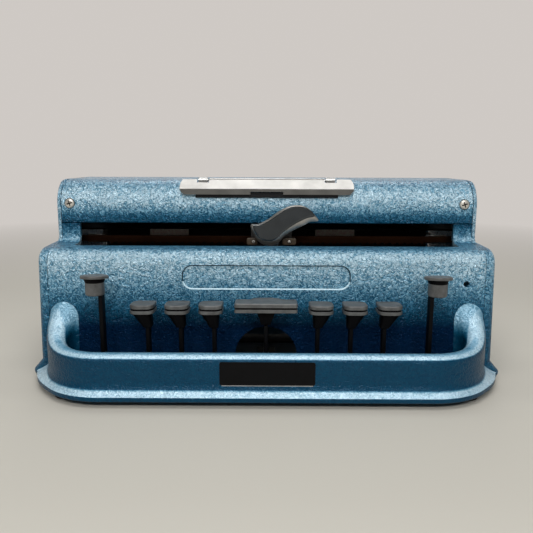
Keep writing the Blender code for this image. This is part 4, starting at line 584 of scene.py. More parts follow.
def make_metal(name, color, roughness, grain=(1.0, 60.0, 60.0), strength=0.15, metallic=1.0, stain=0.62):
    """Metal with a fine brushed grain and slight stains."""
    material, tree, shader = new_material(name, color, roughness, metallic)
    lines = noise(tree, BRUSH_SCALE, FINE_DETAIL, FINE_ROUGHNESS, grain)
    darker = tuple(stain * value for value in color)
    shade(tree, shader, noise(tree, STAIN_SCALE), STAIN_SPAN, (darker, color), lines, roughness, BRUSH_SWING)
    bump(tree, shader, lines, strength, GRAIN_RELIEF)
    return material


def make_dull(name, color, roughness, scale=600, strength=0.2, gloss=0.5):
    """Dull painted or moulded surface with fine texture."""
    material, tree, shader = new_material(name, color, roughness)
    texture = noise(tree, scale, FINE_DETAIL)
    lighter = tuple(min(1.0, DULL_LIGHTER * value) for value in color)
    shade(tree, shader, texture, DULL_SPAN, (color, lighter), texture, roughness, DULL_SWING)
    wire(tree, shader, Specular_IOR_Level=gloss)
    bump(tree, shader, texture, strength, FINE_RELIEF)
    return material


# Finishes by name: the values that each kind's maker takes
# The enamels' heights and shares place their painted light and shade
ENAMELS = {
    "enamel": (PANEL_DEEP_Z, PANEL_PALE_Z, SIDE_SHARES),
    "rear": (PANEL_DEEP_Z, PANEL_PALE_Z, REAR_SHARES),
    "hood": (HOOD_BOTTOM_Z, HOOD_TOP_Z, HOOD_SHARES),
    "panel": (PANEL_DEEP_Z, HOOD_BOTTOM_Z, PANEL_SHARES),
    "casting": (HORN_DEEP_Z, HORN_PALE_Z, HORN_SHARES, 0.4, "MAXIMUM", CASTING_SHARES),
}
PLASTICS = {
    "keys": ((0.06, 0.061, 0.06), (0.13, 0.134, 0.133), 0.4),
    "knob": ((0.014, 0.014, 0.015), (0.026, 0.026, 0.028), 0.3),
}
METALS = {
    "steel": ((0.52, 0.52, 0.5), 0.3),
    "dark_steel": ((0.04, 0.039, 0.037), 0.38),
    "satin": ((0.74, 0.73, 0.7), 0.36, (1.0, 80.0, 80.0), 0.2, 1.0, 0.8),
    "nickel": ((0.78, 0.74, 0.66), 0.28, (8.0, 8.0, 8.0), 0.15, 0.45),
    "brass": ((0.55, 0.34, 0.12), 0.35),
    # Near black rack, painted shade inside the slot
    "rack": ((0.035, 0.014, 0.007), 0.42),
    "paddle": ((0.055, 0.062, 0.067), 0.2, (20.0, 3.0, 20.0), 0.08, 0.7, 0.7),
    # Lighter metal of the paddle's rim, partly a painted reflection of the floor
    "paddle_rim": ((0.45, 0.43, 0.4), 0.3, (20.0, 3.0, 20.0), 0.2, 0.9, 0.7),
}
DULLS = {
    # Recess rim: painted shade on faces turned down, painted highlight on faces turned up
    "edge": ((0.004, 0.03, 0.05), 0.4),
    "lit_edge": ((0.42, 0.58, 0.68), 0.4),
    # Near black painted shade for the keys' necks, grooves and waists
    "neck": ((0.0015, 0.0015, 0.002), 0.45, 600, 0.2, 0.06),
    "blackened": ((0.0015, 0.0015, 0.002), 0.5, 600, 0.2, 0.1),
    "rubber": ((0.012, 0.012, 0.012), 0.75, 300),
    "tarnished": ((0.075, 0.072, 0.065), 0.6, 60, 0.1, 0.12),
    "carriage": ((0.008, 0.006, 0.005), 0.45),
    "lug": ((0.05, 0.034, 0.02), 0.45),
    # Pale tan of the deck tabs, painted light inside the slot
    "clip": ((0.8, 0.56, 0.45), 0.5),
    "label": ((0.002, 0.002, 0.0025), 0.35, 200, 0.05, 0.12),
    "label_edge": ((0.3, 0.3, 0.29), 0.4, 200, 0.05),
}
finishes = {}
kinds = ((make_enamel, ENAMELS), (make_plastic, PLASTICS), (make_metal, METALS), (make_dull, DULLS))
for make, looks in kinds:
    for name, values in looks.items():
        finishes[name] = make(name + "_finish", *values)


# Boxes given as their lowest and highest corners

def middle(box):
    """Middle of a box."""
    return [(low + high) / 2 for low, high in zip(*box)]


def reaches(box):
    """How near to the plane between left and right a box comes, and how far from it."""
    return sorted(abs(corner.x) for corner in box)


# Outlines

def turns(end, steps):
    """Angles from 0 to end in equal steps."""
    return [end * i / steps for i in range(steps + 1)]


def arc(centre, radius, start, end, steps):
    """Points on an arc, both ends included."""
    return [(centre[0] + radius * math.cos(start + angle), centre[1] + radius * math.sin(start + angle))
            for angle in turns(end - start, steps)]


def rounded(corners, closed=True, steps=ARC_STEPS):
    """Path through corners (u, v, radius), each corner rounded by its radius."""
    path = []
    count = len(corners)
    for i, (u, v, radius) in enumerate(corners):
        corner = Vector((u, v))
        at_end = not closed and i in (0, count - 1)
        if at_end or radius == 0:
            path.append((u, v))
            continue
        back = (Vector(corners[i - 1][:2]) - corner).normalized()
        ahead = (Vector(corners[(i + 1) % count][:2]) - corner).normalized()
        half = back.angle(ahead) / 2
        centre = corner + (back + ahead).normalized() * radius / math.sin(half)
        first = corner + back * radius / math.tan(half) - centre
        last = corner + ahead * radius / math.tan(half) - centre
        sweep = math.atan2(first.x * last.y - first.y * last.x, first.dot(last))
        start = math.atan2(first.y, first.x)
        path.extend(arc(centre, radius, start, start + sweep, steps))
    return path


def offset(path, distance, closed=False):
    """Path moved to its right by distance, with mitred corners."""
    count = len(path)
    moved = []
    for i in range(count):
        normals = []
        for k in (i - 1, i):
            if closed or 0 <= k < count - 1:
                step = (Vector(path[(k + 1) % count]) - Vector(path[k])).normalized()
                normals.append(Vector((step.y, -step.x)))
        shift = normals[0]
        if len(normals) == 2:
            shift = (normals[0] + normals[1]) / (1 + normals[0].dot(normals[1]))
        moved.append(tuple(Vector(path[i]) + shift * distance))
    return moved


def strip(path, thickness):
    """Closed outline of a sheet whose outer face is the path."""
    return path + offset(path, thickness)[::-1]


def between(first, last, share):
    """Value at a share of the way from first to last."""
    return first + (last - first) * share


def smooth(points, steps, closed=False):
    """Catmull-Rom curve through the points."""
    count = len(points)
    curve = []
    for i in range(count if closed else count - 1):
        near = range(i - 1, i + 3)
        p0, p1, p2, p3 = (Vector(points[k % count if closed else min(max(k, 0), count - 1)]) for k in near)
        for j in range(steps):
            t = j / steps
            point = 2 * p1 + (p2 - p0) * t
            point += (2 * p0 - 5 * p1 + 4 * p2 - p3) * t * t
            point += (3 * p1 - p0 - 3 * p2 + p3) * t * t * t
            curve.append(tuple(point / 2))
    return curve if closed else curve + [points[-1]]


def rectangle(low_u, low_v, high_u, high_v, radius=0, steps=ARC_STEPS):
    """Counter-clockwise rectangle with rounded corners."""
    corners = ((low_u, low_v), (high_u, low_v), (high_u, high_v), (low_u, high_v))
    return rounded([(u, v, radius) for u, v in corners], True, steps)


def value_at(path, z):
    """First coordinate of a path that climbs steadily, at a height."""
    for (u0, v0), (u1, v1) in zip(path, path[1:]):
        if z <= v1:
            return u0 + (u1 - u0) * max(z - v0, 0) / (v1 - v0)
    return path[-1][0]


# Solids

def place(axis, u, v, along):
    """Point with plane coordinates u, v and a position along the axis."""
    if axis == "X":
        return (along, u, v)
    if axis == "Y":
        return (u, along, v)
    return (u, v, along)


def stand(name, data):
    """New object in the scene."""
    thing = bpy.data.objects.new(name, data)
    bpy.context.scene.collection.objects.link(thing)
    return thing


def link(name, bm, finish):
    """Turn a bmesh into an object with a finish."""
    bmesh.ops.recalc_face_normals(bm, faces=bm.faces)
    mesh = bpy.data.meshes.new(name)
    bm.to_mesh(mesh)
    bm.free()
    mesh.materials.append(finishes[finish])
    return stand(name, mesh)


def loft(name, rings, finish="enamel"):
    """Solid skinned over rings of equally many points, flat at both ends."""
    bm = bmesh.new()
    loops = [[bm.verts.new(point) for point in ring] for ring in rings]
    count = len(loops[0])
    for low, high in zip(loops, loops[1:]):
        for i in range(count):
            j = (i + 1) % count
            bm.faces.new((low[i], low[j], high[j], high[i]))
    bm.faces.new(loops[0])
    bm.faces.new(loops[-1])
    return link(name, bm, finish)


def prism(name, outline, axis, start, end, finish="enamel"):
    """Outline extruded along an axis."""
    rings = [[place(axis, u, v, along) for u, v in outline] for along in (start, end)]
    return loft(name, rings, finish)


def block(name, low, high, finish="enamel"):
    """Box between two corners."""
    outline = rectangle(low[0], low[1], high[0], high[1])
    return prism(name, outline, "Z", low[2], high[2], finish)


def turned(name, profile, axis, centre, finish, steps=ROUND_STEPS):
    """Profile of (along, radius) turned about an axis."""
    bm = bmesh.new()
    rings = []
    for along, radius in profile:
        if radius == 0:
            rings.append([bm.verts.new(place(axis, centre[0], centre[1], along))])
            continue
        circle = arc(centre, radius, 0, 2 * math.pi, steps)[:-1]
        rings.append([bm.verts.new(place(axis, u, v, along)) for u, v in circle])
    for low, high in zip(rings, rings[1:]):
        for i in range(steps):
            j = (i + 1) % steps
            corners = [low[i % len(low)], low[j % len(low)], high[j % len(high)], high[i % len(high)]]
            bm.faces.new(list(dict.fromkeys(corners)))
    for ring in (rings[0], rings[-1]):
        if len(ring) > 1:
            bm.faces.new(ring)
    return link(name, bm, finish)


def rod(name, axis, centre, radius, start, end, finish="enamel"):
    """Round bar along an axis."""
    return turned(name, ((start, radius), (end, radius)), axis, centre, finish)


def combine(piece, tool, operation="DIFFERENCE"):
    """Boolean of a piece with a tool, which leaves no finish and is removed by settle()."""
    modifier = piece.modifiers.new(tool.name, "BOOLEAN")
    modifier.operation = operation
    modifier.solver = "EXACT"
    modifier.object = tool


def bevel(piece, width, segments=BEVEL_SEGMENTS):
    """Round a piece's sharp edges."""
    modifier = piece.modifiers.new("edge", "BEVEL")
    modifier.width = width
    modifier.segments = segments
    modifier.limit_method = "ANGLE"
    modifier.angle_limit = BEVEL_ANGLE


def apply(piece):
    """Make what a piece's modifiers show its own mesh."""
    bpy.context.view_layer.update()
    graph = bpy.context.evaluated_depsgraph_get()
    mesh = bpy.data.meshes.new_from_object(piece.evaluated_get(graph))
    piece.modifiers.clear()
    piece.data = mesh


def settle(piece):
    """Apply the modifiers, drop the tools and smooth the shading."""
    tools = [m.object for m in piece.modifiers if m.type == "BOOLEAN"]
    if piece.modifiers:
        apply(piece)
    for tool in tools:
        bpy.data.objects.remove(tool)
    piece.data.shade_smooth()
    piece.data.set_sharp_from_angle(angle=SMOOTH_ANGLE)
    return piece


def even_out(piece):
    """Let the large faces set the shading, so that flat faces look flat beside rounded edges."""
    modifier = piece.modifiers.new("shading", "WEIGHTED_NORMAL")
    modifier.keep_sharp = True
    apply(piece)


def join(first, *others):
    """Make one object of several."""
    bm = bmesh.new()
    for piece in (first, *others):
        bm.from_mesh(settle(piece).data)
    for other in others:
        bpy.data.objects.remove(other)
    bm.to_mesh(first.data)
    bm.free()
    return first


def dress(piece, body, slot, *nodes):
    """Finish a piece: apply it, ride it on a body and say what it replaces."""
    settle(piece)
    even_out(piece)
    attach(piece, body)
    if nodes:
        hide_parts(*nodes)
    return piece


def recolor(piece, finish, chosen):
    """Give a settled piece's chosen faces another finish."""
    piece.data.materials.append(finishes[finish])
    index = len(piece.data.materials) - 1
    for face in piece.data.polygons:
        if chosen(face):
            face.material_index = index


def refined(node, finish, width):
    """Piece in the shape of a CAD node, its flat faces merged and its edges rounded."""
    bm = bmesh.new()
    bm.from_mesh(frame["nodes"][node].data)
    bmesh.ops.remove_doubles(bm, verts=bm.verts, dist=WELD_REACH)
    bmesh.ops.dissolve_limit(bm, angle_limit=FLAT_ANGLE, verts=bm.verts, edges=bm.edges)
    piece = link(node + "_shape", bm, finish)
    bevel(piece, width, FEW_SEGMENTS)
    return piece


# Body shells

def panel_front_y(z):
    """Y of the front cover's leaning face at a height."""
    share = (z - PANEL_FOOT_Z) / (SHOULDER_Z - PANEL_FOOT_Z)
    return PANEL_FOOT_Y + PANEL_LEAN * share


def front_corners(neck_y):
    """Front of the body from the cover's foot to the neck, as corners with radii."""
    return [
        (PANEL_FOOT_Y, PANEL_FOOT_Z, 0),
        (SHOULDER_Y, SHOULDER_Z, SHOULDER_RADIUS),
        (neck_y, SHOULDER_BACK_Z, NECK_FILLET),
    ]


def bend_cover(name, corners, wall, finish, steps=ARC_STEPS):
    """Sheet over the body's width, bent round its corners."""
    outline = strip(rounded(corners, False, steps), wall)
    return prism(name, outline, "X", -COVER_HALF_WIDTH, COVER_HALF_WIDTH, finish)


def make_front_shell():
    """Front cover with slot, arch, hole and bare recess."""
    neck_y = HOOD_FACE_Y + SEAT_GAP
    corners = front_corners(neck_y) + [(neck_y, HOOD_BOTTOM_Z - SEAT_GAP, 0)]
    shell = bend_cover("front_shell", corners, PANEL_WALL, "panel")
    front = PANEL_FOOT_Y - CUT_OVERRUN
    rear = SHOULDER_Y + PANEL_WALL + CUT_OVERRUN
    slot_end = COVER_HALF_WIDTH - SLOT_END_INSET
    slot = rectangle(-slot_end, SHOULDER_Z - SHOULDER_RADIUS, slot_end, HOOD_BOTTOM_Z + CUT_OVERRUN)
    combine(shell, prism("slot_tool", slot, "Y", HOOD_FACE_Y - SLOT_FRONT_SETBACK,
                         neck_y + PANEL_WALL + CUT_OVERRUN))
    arch = [(ARCH_HALF_WIDTH * math.cos(angle), PANEL_FOOT_Z + ARCH_HEIGHT * math.sin(angle))
            for angle in turns(math.pi, FINE_STEPS)]
    arch += [(side * ARCH_HALF_WIDTH, PANEL_FOOT_Z - CUT_OVERRUN) for _, side in HANDS]
    combine(shell, prism("arch_tool", arch, "Y", front, rear))
    hole = (COVER_HALF_WIDTH - LOCK_HOLE_INSET, SHOULDER_Z - LOCK_HOLE_DROP)
    combine(shell, rod("hole_tool", "Y", hole, LOCK_HOLE_RADIUS, front, rear))
    bevel(shell, SHELL_EDGE)
    recess_z = SHOULDER_Z - RECESS_DROP
    recess = rectangle(-RECESS_WIDTH / 2, recess_z - RECESS_HEIGHT / 2, RECESS_WIDTH / 2,
                       recess_z + RECESS_HEIGHT / 2, RECESS_CORNER_RADIUS)
    rim = offset(recess, RECESS_EDGE, True)
    rings = []
    for outline, depth in ((rim, -CUT_OVERRUN), (rim, 0), (recess, RECESS_EDGE), (recess, RECESS_DEPTH)):
        rings.append([(u, panel_front_y(v) + depth, v) for u, v in outline])
    combine(shell, loft("recess_tool", rings))
    settle(shell)
    reach_x = RECESS_WIDTH / 2 + RECESS_EDGE
    reach_z = RECESS_HEIGHT / 2 + RECESS_EDGE
    # The recess's rim is painted: shade on faces turned down, a highlight on faces turned up
    for finish, low, high in (("edge", -1, EDGE_RISE), ("lit_edge", EDGE_RISE, 1)):
        recolor(shell, finish, lambda face: abs(face.center.x) < reach_x
                and abs(face.center.z - recess_z) < reach_z
                and abs(face.normal.y) < EDGE_TURN and low <= face.normal.z < high)
    dress(shell, "machine", "enamel", "front_cover")


def make_hood_shell():
    """Top hood."""
    corners = [
        (HOOD_FACE_Y, HOOD_BOTTOM_Z, 0),
        (HOOD_FACE_Y, HOOD_TOP_Z, HOOD_FRONT_RADIUS),
        (HOOD_REAR_Y, HOOD_TOP_Z, HOOD_REAR_RADIUS),
        (HOOD_REAR_Y, HOOD_REAR_BOTTOM_Z, 0),
    ]
    shell = bend_cover("hood_shell", corners, HOOD_WALL, "hood", FINE_STEPS)
    bevel(shell, SHELL_EDGE)
    dress(shell, "machine", "enamel", "top_hood")


def make_rear_shell():
    """Rear cover with its shelf and the margin window."""
    corners = [
        (HOOD_REAR_Y - REAR_SLOT, REAR_SHELF_Z, 0),
        (REAR_COVER_Y, REAR_SHELF_Z, REAR_SHELF_RADIUS),
        (REAR_COVER_Y, FRAME_Z, 0),
    ]
    shell = bend_cover("rear_shell", corners, REAR_WALL, "rear")
    half = COVER_HALF_WIDTH - WINDOW_END_INSET
    window = rectangle(-half, MARGIN_Z - WINDOW_HEIGHT / 2, half, MARGIN_Z + WINDOW_HEIGHT / 2,
                       WINDOW_CORNER_RADIUS)
    combine(shell, prism("window_tool", window, "Y", REAR_COVER_Y - REAR_WALL - CUT_OVERRUN,
                         REAR_COVER_Y + CUT_OVERRUN))
    bevel(shell, THIN_EDGE)
    dress(shell, "machine", "enamel", "rear_cover")


def side_profile():
    """Outer face of a side panel as (x, z), from the ear's underside to the hood's top."""
    ear = smooth(EAR_SHARES, PROFILE_STEPS)
    profile = [(LOWER_OUTER_X + EAR_REACH * min(u, 1), BASE_Z + EAR_HEIGHT * v) for u, v in ear]
    step = LOWER_OUTER_X - UPPER_OUTER_X
    low = SHOULDER_BACK_Z - SHOULDER_CROWN
    for u, v in arc((UPPER_OUTER_X, low), SHOULDER_CROWN, 0, math.pi / 2, ARC_STEPS)[:-1]:
        profile.append((UPPER_OUTER_X + (u - UPPER_OUTER_X) * step / SHOULDER_CROWN, v))
    profile.append((UPPER_OUTER_X, SHOULDER_BACK_Z + SEAT_GAP))
    centre = (UPPER_OUTER_X - SIDE_UPPER_ROUND, HOOD_TOP_Z - SIDE_UPPER_ROUND)
    return profile + arc(centre, SIDE_UPPER_ROUND, 0, math.pi / 2, SMALL_ARC_STEPS)[:-1]


def make_side_shell(hand, side):
    """Side panel with rounded edges, flared ear and the bores of the two shafts."""
    middle = (HOOD_FACE_Y + HOOD_REAR_Y) / 2
    front = rounded([(PANEL_FOOT_Y, BASE_Z, 0)] + front_corners(HOOD_FACE_Y)
                    + [(HOOD_FACE_Y, HOOD_TOP_Z, HOOD_FRONT_RADIUS), (middle, HOOD_TOP_Z, 0)],
                    False, FINE_STEPS)[:-1]
    rear = rounded([
        (REAR_COVER_Y, BASE_Z, 0),
        (REAR_COVER_Y, REAR_SHELF_Z - SEAT_GAP, REAR_SHELF_RADIUS),
        (HOOD_REAR_Y, REAR_SHELF_Z + SEAT_GAP, SIDE_LOWER_ROUND),
        (HOOD_REAR_Y, HOOD_TOP_Z, HOOD_REAR_RADIUS),
        (middle, HOOD_TOP_Z, 0),
    ], False, FINE_STEPS)[:-1]
    profile = side_profile()
    heights = []
    for z in sorted(point[1] for point in front + rear + profile):
        if not heights or z - heights[-1] > LEVEL_STEP:
            heights.append(z)
    heights[-1] = HOOD_TOP_Z
    rings = []
    for z in heights:
        y0 = value_at(front, z)
        y1 = value_at(rear, z)
        x = value_at(profile, z)
        share = min((x - UPPER_OUTER_X) / (LOWER_OUTER_X - UPPER_OUTER_X), 1)
        corner = between(SIDE_UPPER_ROUND, SIDE_LOWER_ROUND, max(share, 0))
        corner = min(corner, x - SEAM_X - SEAT_GAP)
        ring = [(SEAM_X, y1), (SEAM_X, y0)]
        ring += arc((x - corner, y0 + corner), corner, -math.pi / 2, 0, SMALL_ARC_STEPS)
        ring += arc((x - corner, y1 - corner), corner, 0, math.pi / 2, SMALL_ARC_STEPS)
        rings.append([(side * u, v, z) for u, v in ring])
    shell = loft(f"side_shell_{hand}", rings, "enamel")
    inner = side * (SEAM_X - CUT_OVERRUN)
    outer = side * (LOWER_OUTER_X + CUT_OVERRUN)
    for name, centre, radius in (("feed", ROLLER_CENTRE, FEED_SHAFT_RADIUS),
                                 ("release", RELEASE_CENTRE, RELEASE_SHAFT_RADIUS)):
        combine(shell, rod(f"{name}_bore_{hand}", "X", centre, radius + RUNNING_GAP, inner, outer))
    dress(shell, "machine", "enamel", f"side_panel_{hand}")


def bar_section(growth, spread_share):
    """Section of the carrying bar as (outward, z) points; both shares run from 0 to 1 at the body."""
    top = BASE_Z + between(BAR_HEIGHT, HORN_HEIGHT, growth)
    half = between(BAR_THICKNESS, HORN_THICKNESS, growth) / 2
    crown = between(BAR_TOP_ROUND, HORN_TOP_ROUND, growth)
    reach = between(FLANGE_REACH, FLANGE_END_REACH, spread_share)
    height = between(FLANGE_HEIGHT, FLANGE_END_HEIGHT, spread_share)
    flange = smooth(FLANGE_SHARES, PROFILE_STEPS)
    points = [(reach * min(u, 1), BASE_Z + height * v) for u, v in flange]
    for angle in turns(math.pi, BAR_TOP_STEPS):
        points.append((-half + half * math.cos(angle), top - crown * (1 - math.sin(angle))))
    points.append((-half * 2, BASE_Z))
    return points


def bar_ring(side, share):
    """Ring of the bar at a share of a corner: 0 at the front, 1 at the body."""
    angle = math.pi / 2 * share
    widening = max(share - FLANGE_START_SHARE, 0) / (1 - FLANGE_START_SHARE)
    lead = SEAT_GAP + BAR_CORNER_RADIUS * (1 - share) / 2
    ring = []
    for outward, z in bar_section(share ** HORN_POWER, widening ** FLANGE_POWER):
        reach = BAR_CORNER_RADIUS + outward
        x = side * (BAR_ARC_X + reach * math.sin(angle))
        y = BAR_ARC_Y - reach * math.cos(angle)
        ring.append((x, min(y, panel_front_y(z) - lead), z))
    return ring


def make_bar_shell():
    """Carrying bar with horns and flange, and the side and rear rails of the base."""
    corner = [1 - (1 - i / CORNER_STEPS) ** RING_POWER for i in range(CORNER_STEPS + 1)]
    rings = [bar_ring(-1, share) for share in reversed(corner)]
    rings += [bar_ring(1, share) for share in corner]
    shell = loft("bar_shell", rings, "casting")
    outer = COVER_HALF_WIDTH
    inner = outer - RAIL_WIDTH
    front = PANEL_FOOT_Y - RAIL_LEAD
    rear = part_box("base_casting")[1].y
    outline = [
        (-outer, front), (-inner, front), (-inner, rear - RAIL_WIDTH), (inner, rear - RAIL_WIDTH),
        (inner, front), (outer, front), (outer, rear), (-outer, rear),
    ]
    rails = prism("base_rails", outline, "Z", FRAME_Z, FRAME_Z + RAIL_HEIGHT, "enamel")
    dress(join(shell, rails), "machine", "enamel", "base_casting")


# Keys

def make_cap(name, x, neck_x, stem_y, top_z, plan):
    """Key cap from its neck's end to its dished top, whose outline at an inset the plan gives."""
    plate_z = top_z - CAP_PLATE
    groove_z = plate_z - CAP_GROOVE
    lip_z = groove_z - CAP_LIP

    def neck(centre_x, width, depth, z):
        """Nearly square ring with one point on the ray to each point of the plan."""
        ring = []
        for u, v in plan(0):
            across = u - x
            along = v - stem_y
            size = (abs(2 * across / width) ** NECK_SQUARENESS
                    + abs(2 * along / depth) ** NECK_SQUARENESS) ** (1 / NECK_SQUARENESS)
            ring.append((centre_x + across / size, stem_y + along / size, z))
        return ring

    rings = [
        neck(neck_x, NECK_END_WIDTH, NECK_END_DEPTH, lip_z - NECK_HEIGHT),
        neck(x, NECK_TOP_WIDTH, NECK_TOP_DEPTH, lip_z - CAP_GROOVE),
        neck(x, NECK_TOP_WIDTH, NECK_TOP_DEPTH, lip_z),
    ]
    for inset, z in ((0, lip_z), (0, groove_z), (CAP_GROOVE_DEPTH, groove_z), (CAP_GROOVE_DEPTH, plate_z),
                     (0, plate_z), (0, top_z - CAP_EDGE), (CAP_EDGE, top_z),
                     (CAP_DISH_INSET, top_z - CAP_DISH)):
        rings.append([(u, v, z) for u, v in plan(inset)])
    cap = loft(name + "_top", rings, "keys")
    bevel(cap, CAP_BEVEL, FEW_SEGMENTS)
    settle(cap)
    # Neck and groove painted near black as the shade under the cap and in the groove
    recolor(cap, "neck", lambda face: face.center.z < lip_z + WELD_REACH
            or groove_z < face.center.z < plate_z)
    dress(cap, name, "keys", name + "_cap")


def make_dot_cap(name):
    """Dot key cap: sharp at its rear inboard corner, round elsewhere."""
    low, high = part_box(name + "_cap")
    x, stem_y, _ = middle((low, high))
    rear = (CAP_ROUND_CORNER, CAP_SHARP_CORNER)
    radii = (CAP_ROUND_CORNER, CAP_ROUND_CORNER, *(rear if x > 0 else reversed(rear)))

    def plan(inset):
        """Outline of the cap, drawn in by an inset."""
        corners = rectangle(low.x + inset, low.y + inset, high.x - inset, high.y - inset)
        return rounded([(u, v, max(radius - inset, CAP_LEAST_CORNER))
                        for (u, v), radius in zip(corners, radii)], True, SMALL_ARC_STEPS)

    make_cap(name, x, middle(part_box(name + "_lever"))[0], stem_y, high.z, plan)


def make_space_cap(name):
    """Space bar: wide cap with a bulge at the middle of its rear edge."""
    low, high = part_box(name + "_cap")
    x = middle((low, high))[0]
    bulge = (high.x - low.x) / 2 * SPACE_BULGE_SHARE

    def plan(inset):
        """Outline of the bar, drawn in by an inset."""
        rear = low.y + CAP_DEPTH - CAP_SHARP_CORNER - inset
        radius = max(CAP_SHARP_CORNER - inset, CAP_LEAST_CORNER)
        corners = [(u, v, radius) for u, v in rectangle(low.x + inset, low.y + inset, high.x - inset, rear)]
        hump = [(x + (bulge - inset) * math.cos(angle), rear + SPACE_BULGE_DEPTH * math.sin(angle), 0)
                for angle in turns(math.pi, FINE_STEPS)]
        return rounded(corners[:-1] + hump + corners[-1:], True, SMALL_ARC_STEPS)

    make_cap(name, x, x, low.y + CAP_DEPTH / 2, high.z, plan)


def make_round_cap(name):
    """Round key: dished disc raised a little at the front, on a flared collar."""
    low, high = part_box(name + "_cap")
    x, stem_y, _ = middle((low, high))
    collar_z = low.z + COLLAR_LENGTH
    disc_z = collar_z + DISC_NECK + DISC_TILT / 2
    top_z = disc_z + DISC_THICKNESS
    waist_z = collar_z + DISC_NECK / 2
    profile = (
        (low.z, COLLAR_RADIUS - CAP_EDGE, 0),
        (low.z + CAP_EDGE, COLLAR_RADIUS, 0),
        (collar_z, COLLAR_RADIUS, 0),
        (waist_z, COLLAR_RADIUS + COLLAR_FLARE * WAIST_FLARE_SHARE, WAIST_TILT_SHARE),
        (disc_z, COLLAR_RADIUS + COLLAR_FLARE, 1),
        (disc_z, DISC_RADIUS, 1),
        (top_z - CAP_EDGE, DISC_RADIUS, 1),
        (top_z, DISC_RADIUS - CAP_EDGE, 1),
        (top_z - CAP_DISH, DISC_RADIUS - CAP_DISH_INSET, 1),
    )
    rings = []
    for z, radius, tilted in profile:
        slope = DISC_TILT / (2 * DISC_RADIUS) * tilted
        circle = arc((x, stem_y), radius, 0, 2 * math.pi, ROUND_STEPS)[:-1]
        rings.append([(u, v, z + (stem_y - v) * slope) for u, v in circle])
    cap = loft(name + "_top", rings, "keys")
    bevel(cap, CAP_BEVEL, FEW_SEGMENTS)
    settle(cap)
    neck_reach = COLLAR_RADIUS + COLLAR_FLARE + WELD_REACH
    # Waist painted near black as the shade under the disc
    recolor(cap, "neck", lambda face: face.center.z > collar_z + WELD_REACH
            and math.hypot(face.center.x - x, face.center.y - stem_y) < neck_reach
            and abs(face.normal.z) < UPRIGHT_TURN)
    dress(cap, name, "keys", name + "_cap")


def make_keys():
    """Dress every key cap and lever."""
    for i in range(DOT_KEY_COUNT):
        make_dot_cap(f"dot_key_{i + 1}")
    make_space_cap("space_key")
    for name in ("line_key", "backspace_key"):
        make_round_cap(name)
    for entry in frame["record"]["subparts"]:
        node = entry["node"]
        if node.endswith("_key_lever") or node.startswith("dot_key") and node.endswith("_lever"):
            dress(refined(node, "blackened", LEVER_EDGE), node.removesuffix("_lever"), "blackened", node)


# Head lever and carriage

def make_paddle():
    """Head lever with a dark dished face inside a bright sloping rim, whose lightness is partly a painted
    reflection.
    """
    low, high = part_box("head_lever")
    front = low.y
    rear = front + PADDLE_THICKNESS
    paddle_low = low.z + PADDLE_FOOT_DROP

    def curve(shares):
        """Smooth outline through shares of the paddle's width and height."""
        return [(PADDLE_LEFT_X + PADDLE_WIDTH * u, paddle_low + PADDLE_HEIGHT * v)
                for u, v in smooth(shares, PADDLE_STEPS, True)]

    outer = curve(PADDLE_SHARES)
    face = curve(PADDLE_FACE_SHARES)
    rings = [(offset(face, -PADDLE_DISH, True), front + PADDLE_DISH / 2), (face, front)]
    for share in PADDLE_RIM_SHARES:
        blended = [(between(u0, u1, share), between(v0, v1, share))
                   for (u0, v0), (u1, v1) in zip(face, outer)]
        rings.append((blended, front + PADDLE_RIM_FALL * share ** PADDLE_RIM_POWER))
    for angle in turns(math.pi / 2, SMALL_ARC_STEPS):
        rings.append((offset(outer, -PADDLE_EDGE * (1 - math.cos(angle)), True),
                      rear - PADDLE_EDGE * (1 - math.sin(angle))))
    skin = [[(u, y, v) for u, v in outline] for outline, y in rings]
    paddle = loft("paddle", skin, "paddle")
    half = PADDLE_FOOT_WIDTH / 2
    foot = block("paddle_foot", (CARRIAGE_REST_X - half, front + PADDLE_EDGE, low.z),
                 (CARRIAGE_REST_X + half, high.y, low.z + PADDLE_FOOT_HEIGHT), "paddle")
    bevel(foot, THIN_EDGE)
    join(paddle, foot)
    settle(paddle)
    turn = front + PADDLE_DISH / 2
    # The rim's lighter finish is partly a painted reflection of the floor on its sloping band
    recolor(paddle, "paddle_rim", lambda part: part.center.y > turn and abs(part.normal.y) < PADDLE_FLAT
            and part.center.z > paddle_low - WELD_REACH)
    dress(paddle, "head_lever", "paddle", "head_lever")


def make_carriage():
    """Carriage body with its two screwed lugs."""
    dress(refined("carriage_body", "carriage", THIN_EDGE), "carriage", "blackened", "carriage_body")
    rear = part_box("carriage_body")[0].y
    front = rear - LUG_LEAD
    for i, ((left, right), screw_x) in enumerate(zip(LUG_SPANS, LUG_SCREW_X)):
        outline = rectangle(left, LUG_LOW_Z, right, LUG_HIGH_Z, LUG_ROUND, SMALL_ARC_STEPS)
        lug = prism(f"carriage_lug_{i}", outline, "Y", front, rear, "lug")
        bevel(lug, THIN_EDGE)
        dress(lug, "carriage", "blackened")
        make_screw("lug", i, (screw_x, front, (LUG_LOW_Z + LUG_HIGH_Z) / 2), "front", "carriage")


# Screws

